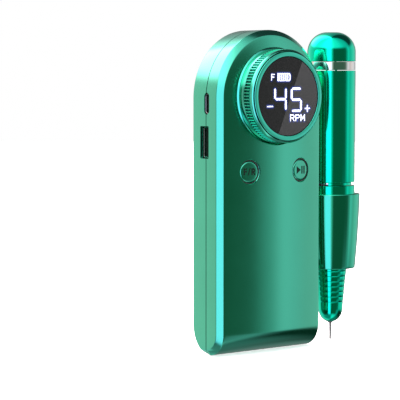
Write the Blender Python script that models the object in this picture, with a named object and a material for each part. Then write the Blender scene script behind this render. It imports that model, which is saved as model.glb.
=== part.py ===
"""Electric nail drill: a slim controller with a speed dial, and a handpiece standing in its side holder.

Every length below is in millimetres, and MM turns it into metres when a mesh is made.  The design frame has
X to the right, Y to the back and Z up, with x = 0 at the middle of the controller and z = 0 under its base.
"""
import math

import bmesh
import bpy
from mathutils import Matrix, Vector

MM = 0.001
GAP = 0.3
# Sides of round pieces: dial and display, handpiece casing, inner parts, small parts
DIAL_SIDES = 36
CASING_SIDES = 24
INNER_SIDES = 16
SMALL_SIDES = 12

# Controller case
HALF_WIDTH = 29.6
HEIGHT = 140.67
ARC_Z = HEIGHT - HALF_WIDTH
SIDE_FRONT_Y = 0.0
BACK_Y = 15.78
RIM_INSET = 2.31
RIM_Y = -2.45
FACE_RADIUS = 122.0
FRONT_Y = RIM_Y - (HALF_WIDTH - RIM_INSET) ** 2 / (2 * FACE_RADIUS)
WALL = 1.8
BACK_EDGE = 0.8
PARTING_Y = 6.5
FRONT_BEND = (6.55, 8.75, 9.0)
BACK_BEND = (3.18, 12.35, 12.6)

# Speed dial and display
DIAL_Z = 112.0
TRIM_RADIUS = 21.12
TRIM_INNER = 19.6
DIAL_BACK_Y = -4.8
DIAL_FRONT_Y = -12.9
DIAL_RADIUS = 20.4
DIAL_MOUTH = 19.45
SKIRT_INNER = 18.0
SKIRT_OUTER = 18.9
SKIRT_END_Y = -0.3
HUB_INNER = 16.6
HUB_OUTER = 17.6
BEZEL_RADIUS = 19.08
BEZEL_FRONT_Y = -13.35
LENS_RADIUS = 16.9
LENS_FRONT_Y = -12.97

# Buttons
BUTTON_X = 14.6
BUTTON_Z = 79.6
BUTTON_RADIUS = 4.7

# Board, battery and sockets
BOARD_FRONT_Y = 2.6
BOARD_BACK_Y = 4.2
BATTERY_HALF_WIDTH = 20.5
CHARGE_Z = 108.9
CHARGE_Y = 6.1
OUTLET_Z = 92.3
OUTLET_Y = 7.6
SCREW_PLACES = ((24.0, 20.0), (18.6, 126.9))
HOLDER_SCREW_Y = 9.6
HOLDER_SCREW_HEIGHTS = (44.0, 58.0)

# Handpiece and its holder, on one upright axis
HAND_X = 42.9
HAND_Y = 6.4
HOLDER_TOP_Z = 67.7
HOLDER_BOTTOM_Z = 33.9
HOLDER_TOP_R = 13.1
HOLDER_TAPER = (0.0241, 0.0011)
BARREL_R = 10.77
CAP_R = 10.9
CAP_TOP_Z = 140.03
CAP_CORNER = (1.9, 131.1, 9.0)
BAND_TOP_Z = 127.2
BAND_BOTTOM_Z = 123.3
GROOVE_TOP_Z = 72.95
GROOVE_BOTTOM_Z = 71.35
COLLAR_BOTTOM_Z = 46.0
GRIP_TIP_Z = 9.1
RIB_TOP_Z = 32.07
RIB_PITCH = 2.34
RIB_COUNT = 7
SHANK_R = 1.15
NEEDLE_R = 0.46
NEEDLE_TIP_Z = 0.7

# The assembly stands centred on the origin
CENTRE_X = (HAND_X + HOLDER_TOP_R - HALF_WIDTH) / 2
CENTRE_Y = (HAND_Y + HOLDER_TOP_R + BEZEL_FRONT_Y) / 2

MATERIALS = {
    "case_green": ((0.03, 0.36, 0.24), 1.0, 0.28),
    "gloss_green": ((0.02, 0.40, 0.26), 1.0, 0.12),
    "chrome": ((0.80, 0.81, 0.82), 1.0, 0.08),
    "steel": ((0.55, 0.56, 0.58), 1.0, 0.25),
    "lens_black": ((0.02, 0.02, 0.022), 0.0, 0.05),
    "black_plastic": ((0.03, 0.03, 0.03), 0.0, 0.45),
    "white_plastic": ((0.75, 0.75, 0.73), 0.0, 0.4),
    "board_green": ((0.02, 0.16, 0.08), 0.0, 0.45),
    "battery_wrap": ((0.10, 0.20, 0.45), 0.1, 0.35),
    "copper": ((0.72, 0.35, 0.18), 1.0, 0.3),
    "brass": ((0.75, 0.58, 0.25), 1.0, 0.25),
    "magnet": ((0.12, 0.12, 0.13), 0.6, 0.5),
    "red_wire": ((0.55, 0.03, 0.03), 0.0, 0.5),
    "black_wire": ((0.02, 0.02, 0.02), 0.0, 0.5),
}


# ---------------------------------------------------------------- tools

def clear_scene():
    for old in list(bpy.data.objects):
        bpy.data.objects.remove(old, do_unlink=True)


def material(name):
    found = bpy.data.materials.get(name)
    if found:
        return found
    colour, metallic, roughness = MATERIALS[name]
    made = bpy.data.materials.new(name)
    made.use_nodes = True
    shader = made.node_tree.nodes["Principled BSDF"]
    shader.inputs["Base Color"].default_value = (*colour, 1.0)
    shader.inputs["Metallic"].default_value = metallic
    shader.inputs["Roughness"].default_value = roughness
    return made


def empty(name, parent, place):
    made = bpy.data.objects.new(name, None)
    made.location = Vector(place) * MM
    made.parent = parent
    bpy.context.collection.objects.link(made)
    return made


def finish(bm, name, parent, mat, smooth=True):
    """Turn a bmesh in millimetres into a named object in metres, faces pointing out."""
    bmesh.ops.remove_doubles(bm, verts=bm.verts, dist=0.0001)
    bmesh.ops.recalc_face_normals(bm, faces=bm.faces)
    bmesh.ops.scale(bm, vec=(MM, MM, MM), verts=bm.verts)
    mesh = bpy.data.meshes.new(name)
    bm.to_mesh(mesh)
    bm.free()
    if smooth:
        mesh.shade_smooth()
        mesh.set_sharp_from_angle(angle=math.radians(35))
    made = bpy.data.objects.new(name, mesh)
    made.parent = parent
    bpy.context.collection.objects.link(made)
    if mat:
        mesh.materials.append(material(mat))
    else:
        made.hide_render = True
        made.display_type = "WIRE"
    return made


def add_turned(bm, profile, steps, axis="Z", at=(0, 0, 0)):
    """Spin a (radius, height) profile; it is a ring unless both its ends lie on the axis."""
    fresh = [bm.verts.new((radius, 0, height)) for radius, height in profile]
    ends_on_axis = profile[0][0] == 0 and profile[-1][0] == 0
    count = len(fresh)
    edges = [bm.edges.new((fresh[i], fresh[i + 1])) for i in range(count - 1)]
    if not ends_on_axis:
        edges.append(bm.edges.new((fresh[-1], fresh[0])))
    before = set(bm.verts) - set(fresh)
    bmesh.ops.spin(bm, geom=fresh + edges, cent=(0, 0, 0), axis=(0, 0, 1), angle=2 * math.pi,
                   steps=steps, use_merge=True, dvec=(0, 0, 0))
    turned = [vert for vert in bm.verts if vert not in before]
    # Height runs along Z, +Y or +X
    turn = {"Z": Matrix.Identity(3), "Y": Matrix.Rotation(-math.pi / 2, 3, "X"),
            "X": Matrix.Rotation(math.pi / 2, 3, "Y")}[axis]
    bmesh.ops.rotate(bm, cent=(0, 0, 0), matrix=turn, verts=turned)
    bmesh.ops.translate(bm, vec=at, verts=turned)
    bmesh.ops.remove_doubles(bm, verts=turned, dist=0.0001)


def turned(name, parent, mat, profile, steps, axis="Z", at=(0, 0, 0)):
    bm = bmesh.new()
    add_turned(bm, profile, steps, axis, at)
    return finish(bm, name, parent, mat)


def disc(radius, low, high):
    """Profile of a plain solid cylinder."""
    return [(0, low), (radius, low), (radius, high), (0, high)]


def tube(inner, outer, low, high):
    """Profile of a plain ring."""
    return [(inner, low), (outer, low), (outer, high), (inner, high)]


def add_box(bm, low, high):
    size = Vector(high) - Vector(low)
    middle = (Vector(high) + Vector(low)) / 2
    matrix = Matrix.Translation(middle) @ Matrix.Diagonal((*size, 1))
    return bmesh.ops.create_cube(bm, size=1, matrix=matrix)["verts"]


def box(name, parent, mat, low, high, bevel=0.0):
    bm = bmesh.new()
    add_box(bm, low, high)
    if bevel:
        bmesh.ops.bevel(bm, geom=list(bm.edges), offset=bevel, segments=2, profile=0.5, affect="EDGES")
    return finish(bm, name, parent, mat)


def add_prism(bm, outline, low, high, axis):
    """Extrude a flat outline along one axis; the outline's pair is the other two axes, in order."""
    def point(pair, height):
        first, second = pair
        return {"X": (height, first, second), "Y": (first, height, second), "Z": (first, second, height)}[axis]
    face = bm.faces.new([bm.verts.new(point(pair, low)) for pair in outline])
    extruded = bmesh.ops.extrude_face_region(bm, geom=[face])["geom"]
    moved = [item for item in extruded if isinstance(item, bmesh.types.BMVert)]
    shift = Vector(point((0, 0), high - low))
    bmesh.ops.translate(bm, vec=shift, verts=moved)


def prism(name, parent, mat, outline, low, high, axis):
    bm = bmesh.new()
    add_prism(bm, outline, low, high, axis)
    return finish(bm, name, parent, mat)


def arc(centre, radius, start, end, steps):
    """Points along an arc, angles in degrees, both ends included."""
    points = []
    for step in range(steps + 1):
        angle = math.radians(start + (end - start) * step / steps)
        points.append((centre[0] + radius * math.cos(angle), centre[1] + radius * math.sin(angle)))
    return points


def rounded_rectangle(centre, half_a, half_b, radius, steps=3):
    corners = ((half_a, half_b, 0), (-half_a, half_b, 90), (-half_a, -half_b, 180), (half_a, -half_b, 270))
    points = []
    for a, b, start in corners:
        middle = (centre[0] + a - math.copysign(radius, a), centre[1] + b - math.copysign(radius, b))
        points += arc(middle, radius, start, start + 90, steps)
    return points


def combine(target, other, operation):
    step = target.modifiers.new(operation.lower(), "BOOLEAN")
    step.operation = operation
    step.solver = "EXACT"
    step.object = other
    return target


def weld(target):
    """Merge the near-double points that a chain of cuts leaves."""
    step = target.modifiers.new("weld", "WELD")
    step.merge_threshold = 0.02 * MM
    return target


def wire(name, parent, mat, route, radius, samples=4):
    """A round lead along a smooth curve through the route's points."""
    data = bpy.data.curves.new(name, "CURVE")
    data.dimensions = "3D"
    data.bevel_depth = radius * MM
    data.bevel_resolution = 1
    data.use_fill_caps = True
    points = smooth_route([Vector(point) for point in route], samples)
    spline = data.splines.new("POLY")
    spline.points.add(len(points) - 1)
    for slot, point in zip(spline.points, points):
        slot.co = (*(point * MM), 1)
    data.materials.append(material(mat))
    made = bpy.data.objects.new(name, data)
    made.parent = parent
    bpy.context.collection.objects.link(made)
    return made


def smooth_route(points, samples):
    """Catmull-Rom points through the route."""
    padded = [2 * points[0] - points[1], *points, 2 * points[-1] - points[-2]]
    result = []
    for a, b, c, d in zip(padded, padded[1:], padded[2:], padded[3:]):
        for step in range(samples):
            t = step / samples
            result.append(0.5 * (2 * b + (c - a) * t + (2 * a - 5 * b + 4 * c - d) * t ** 2
                                 + (3 * b - 3 * c + d - a) * t ** 3))
    return [*result, points[-1]]


# ---------------------------------------------------------------- controller case

def bend_y(bend, height, wall, side):
    """How far back or forward the lower bend lies at a height; side is -1 in front and +1 behind."""
    centre_y, centre_z, radius = bend
    reach = radius - wall
    if height >= centre_z:
        return centre_y + side * reach
    return centre_y + side * math.sqrt(max(reach ** 2 - (centre_z - height) ** 2, 0.0))


def case_section(height, wall):
    """Right half of the case's level section, from the middle of the front to the middle of the back."""
    half = HALF_WIDTH - wall
    rim_x = HALF_WIDTH - RIM_INSET - wall * 0.5
    rim_y = bend_y(FRONT_BEND, height, wall, -1)
    foot = RIM_INSET + wall
    if height < foot:
        half = rim_x + (half - rim_x) * (0.2 + 0.8 * (height - wall) / RIM_INSET)
    fade = math.sin(math.pi / 2 * min(1.0, (height - wall) / FRONT_BEND[1]))
    points = []
    for share in (0.0, 0.35, 0.7, 1.0):
        bulge = (FRONT_Y - RIM_Y) * (1 - share ** 2) * fade
        points.append((rim_x * share, rim_y + bulge))
    back_y = bend_y(BACK_BEND, height, wall, 1)
    inner = (FRONT_BEND[0], FRONT_BEND[1], FRONT_BEND[2] - (SIDE_FRONT_Y - RIM_Y) + wall * 0.5)
    side_y = bend_y(inner, max(height, foot), wall, -1)
    side_y = min(side_y, (rim_y + back_y) / 2)
    edge = min(BACK_EDGE, (back_y - side_y) * 0.4, (half - rim_x) * 0.8)
    points.append((half, side_y))
    points.append((half, back_y - edge))
    points.append((half - edge * 0.3, back_y - edge * 0.3))
    points.append((half - edge, back_y))
    points.append((0.0, back_y))
    return points


def add_case_solid(bm, wall, arc_steps):
    """The whole case, or the hollow inside it, as one closed body."""
    heights = [wall, wall + 1.2, wall + RIM_INSET, 5.2, 7.0, FRONT_BEND[1], 10.6, BACK_BEND[1], ARC_Z]
    rings = []
    for height in heights:
        half = case_section(height, wall)
        loop = [bm.verts.new((x, y, height)) for x, y in half]
        loop += [bm.verts.new((-x, y, height)) for x, y in half[-2:0:-1]]
        rings.append(loop)
    bm.faces.new(rings[0])
    count = len(rings[0])
    for lower, upper in zip(rings, rings[1:]):
        for i in range(count):
            j = (i + 1) % count
            bm.faces.new((lower[i], lower[j], upper[j], upper[i]))
    top = case_section(ARC_Z, wall)
    size = len(top)
    right = rings[-1][:size]
    left = [rings[-1][0]] + rings[-1][:size - 2:-1]
    strips = [right]
    for step in range(1, arc_steps):
        angle = math.pi * step / arc_steps
        strip = [right[0]]
        for x, y in top[1:-1]:
            strip.append(bm.verts.new((x * math.cos(angle), y, ARC_Z + x * math.sin(angle))))
        strip.append(right[-1])
        strips.append(strip)
    strips.append(left)
    for first, second in zip(strips, strips[1:]):
        for i in range(size - 1):
            corners = [first[i], first[i + 1], second[i + 1], second[i]]
            bm.faces.new(list(dict.fromkeys(corners)))


def case_solid(name, parent, mat, wall, arc_steps, keep=0):
    """The case's solid; keep is -1 for the part in front of the parting gap and +1 for the part behind it."""
    bm = bmesh.new()
    add_case_solid(bm, wall, arc_steps)
    if keep:
        bmesh.ops.recalc_face_normals(bm, faces=bm.faces)
        cut = bmesh.ops.bisect_plane(bm, geom=[*bm.verts, *bm.edges, *bm.faces], dist=0.0001,
                                     plane_co=(0, PARTING_Y + keep * GAP / 2, 0), plane_no=(0, keep, 0),
                                     clear_inner=True)["geom_cut"]
        bmesh.ops.contextual_create(bm, geom=[item for item in cut if isinstance(item, bmesh.types.BMEdge)])
    return finish(bm, name, parent, mat)


def mirrored(places):
    return [(side * x, z) for x, z in places for side in (-1, 1)]


def cylinders(name, parent, mat, places, radius, low, high, steps=SMALL_SIDES):
    """Round solids along Y at (x, z) places, joined in one object."""
    bm = bmesh.new()
    for x, z in places:
        add_turned(bm, disc(radius, low, high), steps, "Y", (x, 0, z))
    return finish(bm, name, parent, mat)


def socket_cutters(parent):
    charge = prism("charge_slot_cut", parent, None,
                   rounded_rectangle((CHARGE_Y, CHARGE_Z), 1.7, 4.65, 1.6), -40, -25, "X")
    outlet = prism("outlet_slot_cut", parent, None,
                   rounded_rectangle((OUTLET_Y, OUTLET_Z), 2.85, 6.95, 0.5), -40, -25, "X")
    return charge, outlet


def dial_opening(parent):
    """Seat of the trim ring and the round hole for the dial's skirt."""
    profile = [(0, -12), (TRIM_RADIUS + GAP, -12), (TRIM_RADIUS + GAP, -3.0), (TRIM_INNER - GAP, -3.0),
               (TRIM_INNER - GAP, 2), (0, 2)]
    return turned("dial_opening_cut", parent, None, profile, DIAL_SIDES, "Y", (0, 0, DIAL_Z))


def front_shell(parent, cavity, cutters):
    shell = case_solid("front_shell", parent, "case_green", 0.0, 28, keep=-1)
    combine(shell, cavity, "DIFFERENCE")
    posts = cylinders("front_posts", parent, None, mirrored(SCREW_PLACES), 2.4, -2.2, PARTING_Y - GAP / 2)
    combine(shell, posts, "UNION")
    bores = cylinders("front_post_bores", parent, None, mirrored(SCREW_PLACES), 1.1, 0.2, PARTING_Y + 2)
    combine(shell, bores, "DIFFERENCE")
    for cutter in cutters:
        combine(shell, cutter, "DIFFERENCE")
    combine(shell, dial_opening(parent), "DIFFERENCE")
    places = mirrored(((BUTTON_X, BUTTON_Z),))
    holes = cylinders("button_holes", parent, None, places, BUTTON_RADIUS + 0.4, -12, 0, CASING_SIDES)
    return weld(combine(shell, holes, "DIFFERENCE"))


def rear_shell(parent, cavity, cutters):
    shell = case_solid("rear_shell", parent, "case_green", 0.0, 28, keep=1)
    combine(shell, cavity, "DIFFERENCE")
    for cutter in cutters:
        combine(shell, cutter, "DIFFERENCE")
    posts = cylinders("rear_posts", parent, None, mirrored(SCREW_PLACES), 2.6, PARTING_Y + GAP / 2,
                      BACK_Y - 0.9)
    combine(shell, posts, "UNION")
    bm = bmesh.new()
    counterbore = [(0, 0), (1.15, 0), (1.15, BACK_Y - 1.5), (2.2, BACK_Y - 1.5), (2.2, 20), (0, 20)]
    for x, z in mirrored(SCREW_PLACES):
        add_turned(bm, counterbore, SMALL_SIDES, "Y", (x, 0, z))
    combine(shell, finish(bm, "rear_screw_bores", parent, None), "DIFFERENCE")
    bm = bmesh.new()
    for z in HOLDER_SCREW_HEIGHTS:
        add_turned(bm, disc(1.1, 25, 33), SMALL_SIDES, "X", (0, HOLDER_SCREW_Y, z))
    return weld(combine(shell, finish(bm, "holder_screw_bores", parent, None), "DIFFERENCE"))


def case_screws(parent):
    """Screws from the back, each with its head in a counterbore."""
    profile = [(0, 1.5), (0.8, 1.5), (0.8, BACK_Y - 1.2), (1.9, BACK_Y - 1.2), (1.9, BACK_Y - 0.35),
               (1.5, BACK_Y - 0.15), (0, BACK_Y - 0.15)]
    for number, (x, z) in enumerate(mirrored(SCREW_PLACES), 1):
        turned(f"case_screw_{number}", parent, "steel", profile, SMALL_SIDES, "Y", (x, 0, z))


# ---------------------------------------------------------------- dial and display

def dial_trim_ring(parent):
    profile = [(TRIM_INNER, -4.2), (TRIM_INNER + 0.3, -4.5), (TRIM_RADIUS - 0.6, -4.5),
               (TRIM_RADIUS, -3.9), (TRIM_RADIUS, -3.3), (TRIM_INNER, -3.3)]
    return turned("dial_trim_ring", parent, "gloss_green", profile, DIAL_SIDES, "Y")


def speed_dial(parent):
    """Knob ring: cone, gripping band and front flange outside, and the skirt that turns round the hub."""
    profile = [(DIAL_MOUTH, DIAL_FRONT_Y), (DIAL_RADIUS - 0.6, DIAL_FRONT_Y), (DIAL_RADIUS - 0.3, -12.6),
               (DIAL_RADIUS - 0.3, -11.2), (DIAL_RADIUS - 0.1, -11.0), (DIAL_RADIUS - 0.1, -7.5),
               (DIAL_RADIUS + 0.15, DIAL_BACK_Y), (SKIRT_OUTER, DIAL_BACK_Y), (SKIRT_OUTER, -1.9),
               (SKIRT_OUTER - 0.4, -1.9), (SKIRT_OUTER - 0.4, -0.8), (SKIRT_OUTER, -0.8),
               (SKIRT_OUTER, SKIRT_END_Y), (SKIRT_INNER, SKIRT_END_Y), (SKIRT_INNER, -9.0),
               (DIAL_MOUTH, -9.0)]
    return turned("speed_dial", parent, "gloss_green", profile, DIAL_SIDES, "Y")


def dial_retainer(parent):
    """Split ring that snaps into the skirt's groove behind the front wall."""
    inner = SKIRT_OUTER - 0.1
    outer = 20.6
    half_gap = 5.0
    outline = arc((0, 0), outer, 90 + half_gap, 450 - half_gap, CASING_SIDES)
    outline += arc((0, 0), inner, 450 - half_gap, 90 + half_gap, CASING_SIDES)
    return prism("dial_retainer", parent, "steel", outline, -1.6, -1.1, "Y")


def dial_magnet_ring(parent):
    profile = tube(SKIRT_INNER - 0.1, SKIRT_OUTER, 0.0, 1.2)
    return turned("dial_magnet_ring", parent, "magnet", profile, CASING_SIDES, "Y")


def display_hub(parent):
    profile = [(HUB_INNER, 2.3), (HUB_INNER, -11.9), (18.7, -11.9), (18.7, -10.6), (HUB_OUTER, -10.6),
               (HUB_OUTER, 2.3)]
    return turned("display_hub", parent, "black_plastic", profile, CASING_SIDES, "Y")


def display_bezel(parent):
    profile = [(17.1, BEZEL_FRONT_Y + 0.15), (17.25, BEZEL_FRONT_Y), (18.9, BEZEL_FRONT_Y),
               (BEZEL_RADIUS, BEZEL_FRONT_Y + 0.18), (BEZEL_RADIUS, -12.2), (17.1, -12.2)]
    return turned("display_bezel", parent, "case_green", profile, DIAL_SIDES, "Y")


def display_lens(parent):
    profile = [(0, LENS_FRONT_Y), (LENS_RADIUS - 0.2, LENS_FRONT_Y), (LENS_RADIUS, LENS_FRONT_Y + 0.2),
               (LENS_RADIUS, -12.25), (0, -12.25)]
    return turned("display_lens", parent, "lens_black", profile, DIAL_SIDES, "Y")


def display_module(parent):
    return turned("display_module", parent, "black_plastic", disc(16.2, -11.9, -8.4), INNER_SIDES, "Y")


# ---------------------------------------------------------------- buttons

def button_cap(name, parent):
    """Cap whose front follows the case's convex face, with a flange behind the wall and a stem."""
    profile = [(0, -8), (BUTTON_RADIUS, -8), (BUTTON_RADIUS, -1.6), (5.6, -1.6), (5.6, -0.9), (1.4, -0.9),
               (1.4, -0.4), (0, -0.4)]
    return turned(name, parent, "case_green", profile, INNER_SIDES, "Y")


def plunger(name, parent):
    return turned(name, parent, "white_plastic", disc(1.6, -0.1, 1.2), SMALL_SIDES, "Y")


def tact_switch(name, parent, x):
    switch = box(name, parent, "black_plastic", (x - 3, 0.9, BUTTON_Z - 3), (x + 3, 2.3, BUTTON_Z + 3))
    bore = turned(f"{name}_bore", parent, None, disc(1.9, 0, 2.0), SMALL_SIDES, "Y", (x, 0, BUTTON_Z))
    return combine(switch, bore, "DIFFERENCE")


def buttons(rig, envelope):
    for label, side in (("fr", -1), ("play", 1)):
        x = side * BUTTON_X
        axis = empty(f"{label}_button_axis", rig, (x, 0, BUTTON_Z))
        cap = button_cap(f"{label}_button", axis)
        combine(cap, envelope, "INTERSECT")
        plunger(f"{label}_switch_plunger", axis)
        tact_switch(f"{label}_switch", rig, x)


# ---------------------------------------------------------------- board, battery and sockets

def main_board(parent):
    half = 26.3
    shoulder = 113.5
    radius = 21.6
    start = math.degrees(math.asin((shoulder - ARC_Z) / radius))
    outline = [(-half, 73.5), (half, 73.5), (half, shoulder)]
    outline += arc((0, ARC_Z), radius, start, 180 - start, INNER_SIDES)
    outline += [(-half, shoulder)]
    board = prism("main_board", parent, "board_green", outline, BOARD_FRONT_Y, BOARD_BACK_Y, "Y")
    # Soldered on: chip and hall sensor in front; choke, driver and capacitors behind
    blocks = {"chip": ((-3.5, 1.3, 80.5), (3.5, 3.0, 87.5)), "hall_sensor": ((-1.5, 1.5, 92.0), (1.5, 3.0, 93.6)),
              "choke": ((3.0, 3.8, 96.0), (10.0, 8.0, 103.0)), "driver": ((-4.0, 3.8, 108.0), (2.0, 6.0, 114.0)),
              "capacitor_a": ((12.0, 3.8, 106.0), (18.0, 7.4, 110.0)),
              "capacitor_b": ((12.0, 3.8, 112.0), (18.0, 7.4, 116.0))}
    for name, (low, high) in blocks.items():
        combine(board, box(f"board_{name}", parent, None, low, high), "UNION")
    return board


def battery(parent):
    half = BATTERY_HALF_WIDTH
    box("battery_cell", parent, "battery_wrap", (-half, 4.0, 14.5), (half, 13.4, 70.0), bevel=1.2)
    box("protection_board", parent, "board_green", (-16, 5.0, 71.0), (16, 6.2, 76.0))
    for label, x in (("red", 7.0), ("black", 11.0)):
        route = ((x, 5.6, 76.4), (x, 5.9, 78.4), (x + 1, 7.0, 81.0), (x + 2, 6.6, 83.6), (x + 2, 4.6, 84.6))
        wire(f"battery_lead_{label}", parent, f"{label}_wire", route, 0.5)


def socket(name, parent, centre, half, mouth_x, end_x, wall, corner, tongue):
    """Drawn metal shell with an open mouth, and the contact tongue inside it."""
    outer = rounded_rectangle(centre, half[0], half[1], corner)
    inner = rounded_rectangle(centre, half[0] - wall, half[1] - wall, max(corner - wall, 0.1))
    shell = prism(f"{name}_shell", parent, "steel", outer, mouth_x, end_x, "X")
    hollow = prism(f"{name}_hollow_cut", parent, None, inner, mouth_x - 1, end_x - 1.0, "X")
    combine(shell, hollow, "DIFFERENCE")
    low, high = tongue
    box(f"{name}_tongue", parent, "black_plastic", (mouth_x + 0.8, low[0], low[1]),
        (end_x - 1.0 - GAP, high[0], high[1]))


def sockets(parent):
    socket("charge_socket", parent, (CHARGE_Y, CHARGE_Z), (1.4, 4.33), -HALF_WIDTH + 0.5, -21.5, 0.3, 1.3,
           ((CHARGE_Y - 0.35, CHARGE_Z - 3.3), (CHARGE_Y + 0.35, CHARGE_Z + 3.3)))
    socket("outlet_socket", parent, (OUTLET_Y, OUTLET_Z), (2.55, 6.58), -HALF_WIDTH + 1.6, -14.5, 0.35, 0.6,
           ((OUTLET_Y - 1.9, OUTLET_Z - 5.5), (OUTLET_Y - 0.1, OUTLET_Z + 5.5)))


# ---------------------------------------------------------------- holder

def holder(rig, axis):
    """Tapered sleeve with a foot that screws to the side of the case."""
    straight, bowed = HOLDER_TAPER
    drops = [(HOLDER_TOP_Z - HOLDER_BOTTOM_Z - 0.5) * step / 4 for step in range(4, 0, -1)]
    side = [(HOLDER_TOP_R - straight * drop - bowed * drop ** 2, HOLDER_TOP_Z - drop) for drop in drops]
    profile = [(0, HOLDER_BOTTOM_Z), (side[0][0] - 0.5, HOLDER_BOTTOM_Z), *side,
               (HOLDER_TOP_R, HOLDER_TOP_Z - 0.4), (HOLDER_TOP_R - 0.4, HOLDER_TOP_Z), (0, HOLDER_TOP_Z)]
    sleeve = turned("holder", axis, "case_green", profile, CASING_SIDES)
    foot_x = HALF_WIDTH + GAP
    foot = box("holder_foot", rig, None, (foot_x, 1.6, 38.0), (foot_x + 3.6, 13.0, 64.5))
    combine(sleeve, foot, "UNION")
    bore = [(0, 20), (9.4, 20), (9.4, HOLDER_BOTTOM_Z), (11.12, 58.0), (11.12, 80), (0, 80)]
    combine(sleeve, turned("holder_bore_cut", axis, None, bore, CASING_SIDES), "DIFFERENCE")
    bm = bmesh.new()
    for z in HOLDER_SCREW_HEIGHTS:
        add_turned(bm, disc(1.1, 25, 31.3), SMALL_SIDES, "X", (0, HOLDER_SCREW_Y, z))
    combine(sleeve, finish(bm, "holder_foot_bores", rig, None), "DIFFERENCE")
    profile = [(0, 26.0), (1.6, 26.0), (1.8, 26.2), (1.8, 27.25), (0.8, 27.25), (0.8, 31.0), (0, 31.0)]
    for number, z in enumerate(HOLDER_SCREW_HEIGHTS, 1):
        turned(f"holder_screw_{number}", rig, "steel", profile, SMALL_SIDES, "X", (0, HOLDER_SCREW_Y, z))


# ---------------------------------------------------------------- handpiece casing

def tail_cap(axis):
    """Cap with a wide round shoulder and a hole at the top for the socket."""
    centre_r, centre_z, radius = CAP_CORNER
    end = math.degrees(math.acos((3.0 - centre_r) / radius))
    outside = arc((centre_r, centre_z), radius, 0, end, 6)
    inside = arc((centre_r, centre_z), radius - 1.4, 70, 0, 3)
    profile = [(CAP_R, BAND_TOP_Z + 0.1), *outside, (3.0, CAP_TOP_Z - 2.0), *inside,
               (CAP_R - 1.4, BAND_TOP_Z + 0.1)]
    return turned("tail_cap", axis, "gloss_green", profile, CASING_SIDES)


def tail_socket(axis):
    """Round inlet for the handpiece's lead."""
    profile = [(1.1, CAP_TOP_Z - 0.2), (2.7, CAP_TOP_Z - 0.2), (2.7, CAP_TOP_Z - 2.4), (4.2, CAP_TOP_Z - 3.4),
               (4.2, CAP_TOP_Z - 7.0), (0, CAP_TOP_Z - 7.0), (0, CAP_TOP_Z - 6.0), (1.1, CAP_TOP_Z - 6.0)]
    bm = bmesh.new()
    points = [(0, CAP_TOP_Z - 6.0), *profile[7:], *profile[:6]]
    add_turned(bm, points, SMALL_SIDES)
    return finish(bm, "tail_socket", axis, "black_plastic")


def handpiece_casing(axis):
    tail_cap(axis)
    tail_socket(axis)
    band = tube(9.4, BARREL_R, BAND_BOTTOM_Z + 0.15, BAND_TOP_Z - 0.15)
    turned("tail_band", axis, "chrome", band, CASING_SIDES)
    profile = [(9.8, GROOVE_TOP_Z), (BARREL_R - 0.15, GROOVE_TOP_Z), (BARREL_R, GROOVE_TOP_Z + 0.15),
               (BARREL_R, 106.0), (CAP_R, 119.0), (CAP_R, BAND_BOTTOM_Z - 0.15), (9.8, BAND_BOTTOM_Z - 0.15)]
    turned("barrel", axis, "gloss_green", profile, CASING_SIDES)
    ring = tube(7.1, 9.3, GROOVE_BOTTOM_Z + 0.2, GROOVE_TOP_Z - 0.2)
    turned("groove_ring", axis, "chrome", ring, CASING_SIDES)
    profile = [(5.9, COLLAR_BOTTOM_Z), (6.7, COLLAR_BOTTOM_Z), (6.7, 78.0), (9.4, 78.0), (9.4, 82.0),
               (5.9, 82.0)]
    turned("core_tube", axis, "black_plastic", profile, INNER_SIDES)


def lock_collar(axis):
    """Lower part of the barrel: it twists to open the chuck, and seats on the holder's cone."""
    profile = [(7.1, COLLAR_BOTTOM_Z + GAP), (9.75, COLLAR_BOTTOM_Z + GAP), (10.5, 58.2), (BARREL_R, 59.0),
               (BARREL_R, GROOVE_BOTTOM_Z - 0.15), (BARREL_R - 0.15, GROOVE_BOTTOM_Z), (7.1, GROOVE_BOTTOM_Z)]
    return turned("lock_collar", axis, "gloss_green", profile, CASING_SIDES)


def grip(axis):
    """Ribbed taper with a round nose, hollow for the chuck and the front bearing."""
    top_z, top_r = 34.5, 7.46
    end_z, end_r = 15.4, 5.65

    def taper(z):
        return end_r + (top_r - end_r) * (z - end_z) / (top_z - end_z)

    outside = [(9.5, 45.7), (9.1, 43.0), (7.9, 37.6), (top_r, top_z)]
    for rib in range(RIB_COUNT):
        z = RIB_TOP_Z - RIB_PITCH * rib
        outside += [(taper(z + 0.3), z + 0.3), (taper(z) - 0.25, z), (taper(z - 0.3), z - 0.3)]
    nose = end_z - GRIP_TIP_Z
    for step in range(5):
        angle = math.radians(72 * step / 4)
        outside.append((end_r * math.cos(angle), end_z - nose * math.sin(angle) / math.sin(math.radians(72))))
    inside = [(1.45, GRIP_TIP_Z), (1.45, 12.9), (3.2, 13.2), (3.2, 18.6), (4.55, 18.6), (4.55, 24.0),
              (5.2, 34.0), (5.9, 36.0), (5.9, 45.7)]
    return turned("grip", axis, "gloss_green", outside + inside, CASING_SIDES)


# ---------------------------------------------------------------- handpiece drive

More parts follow.
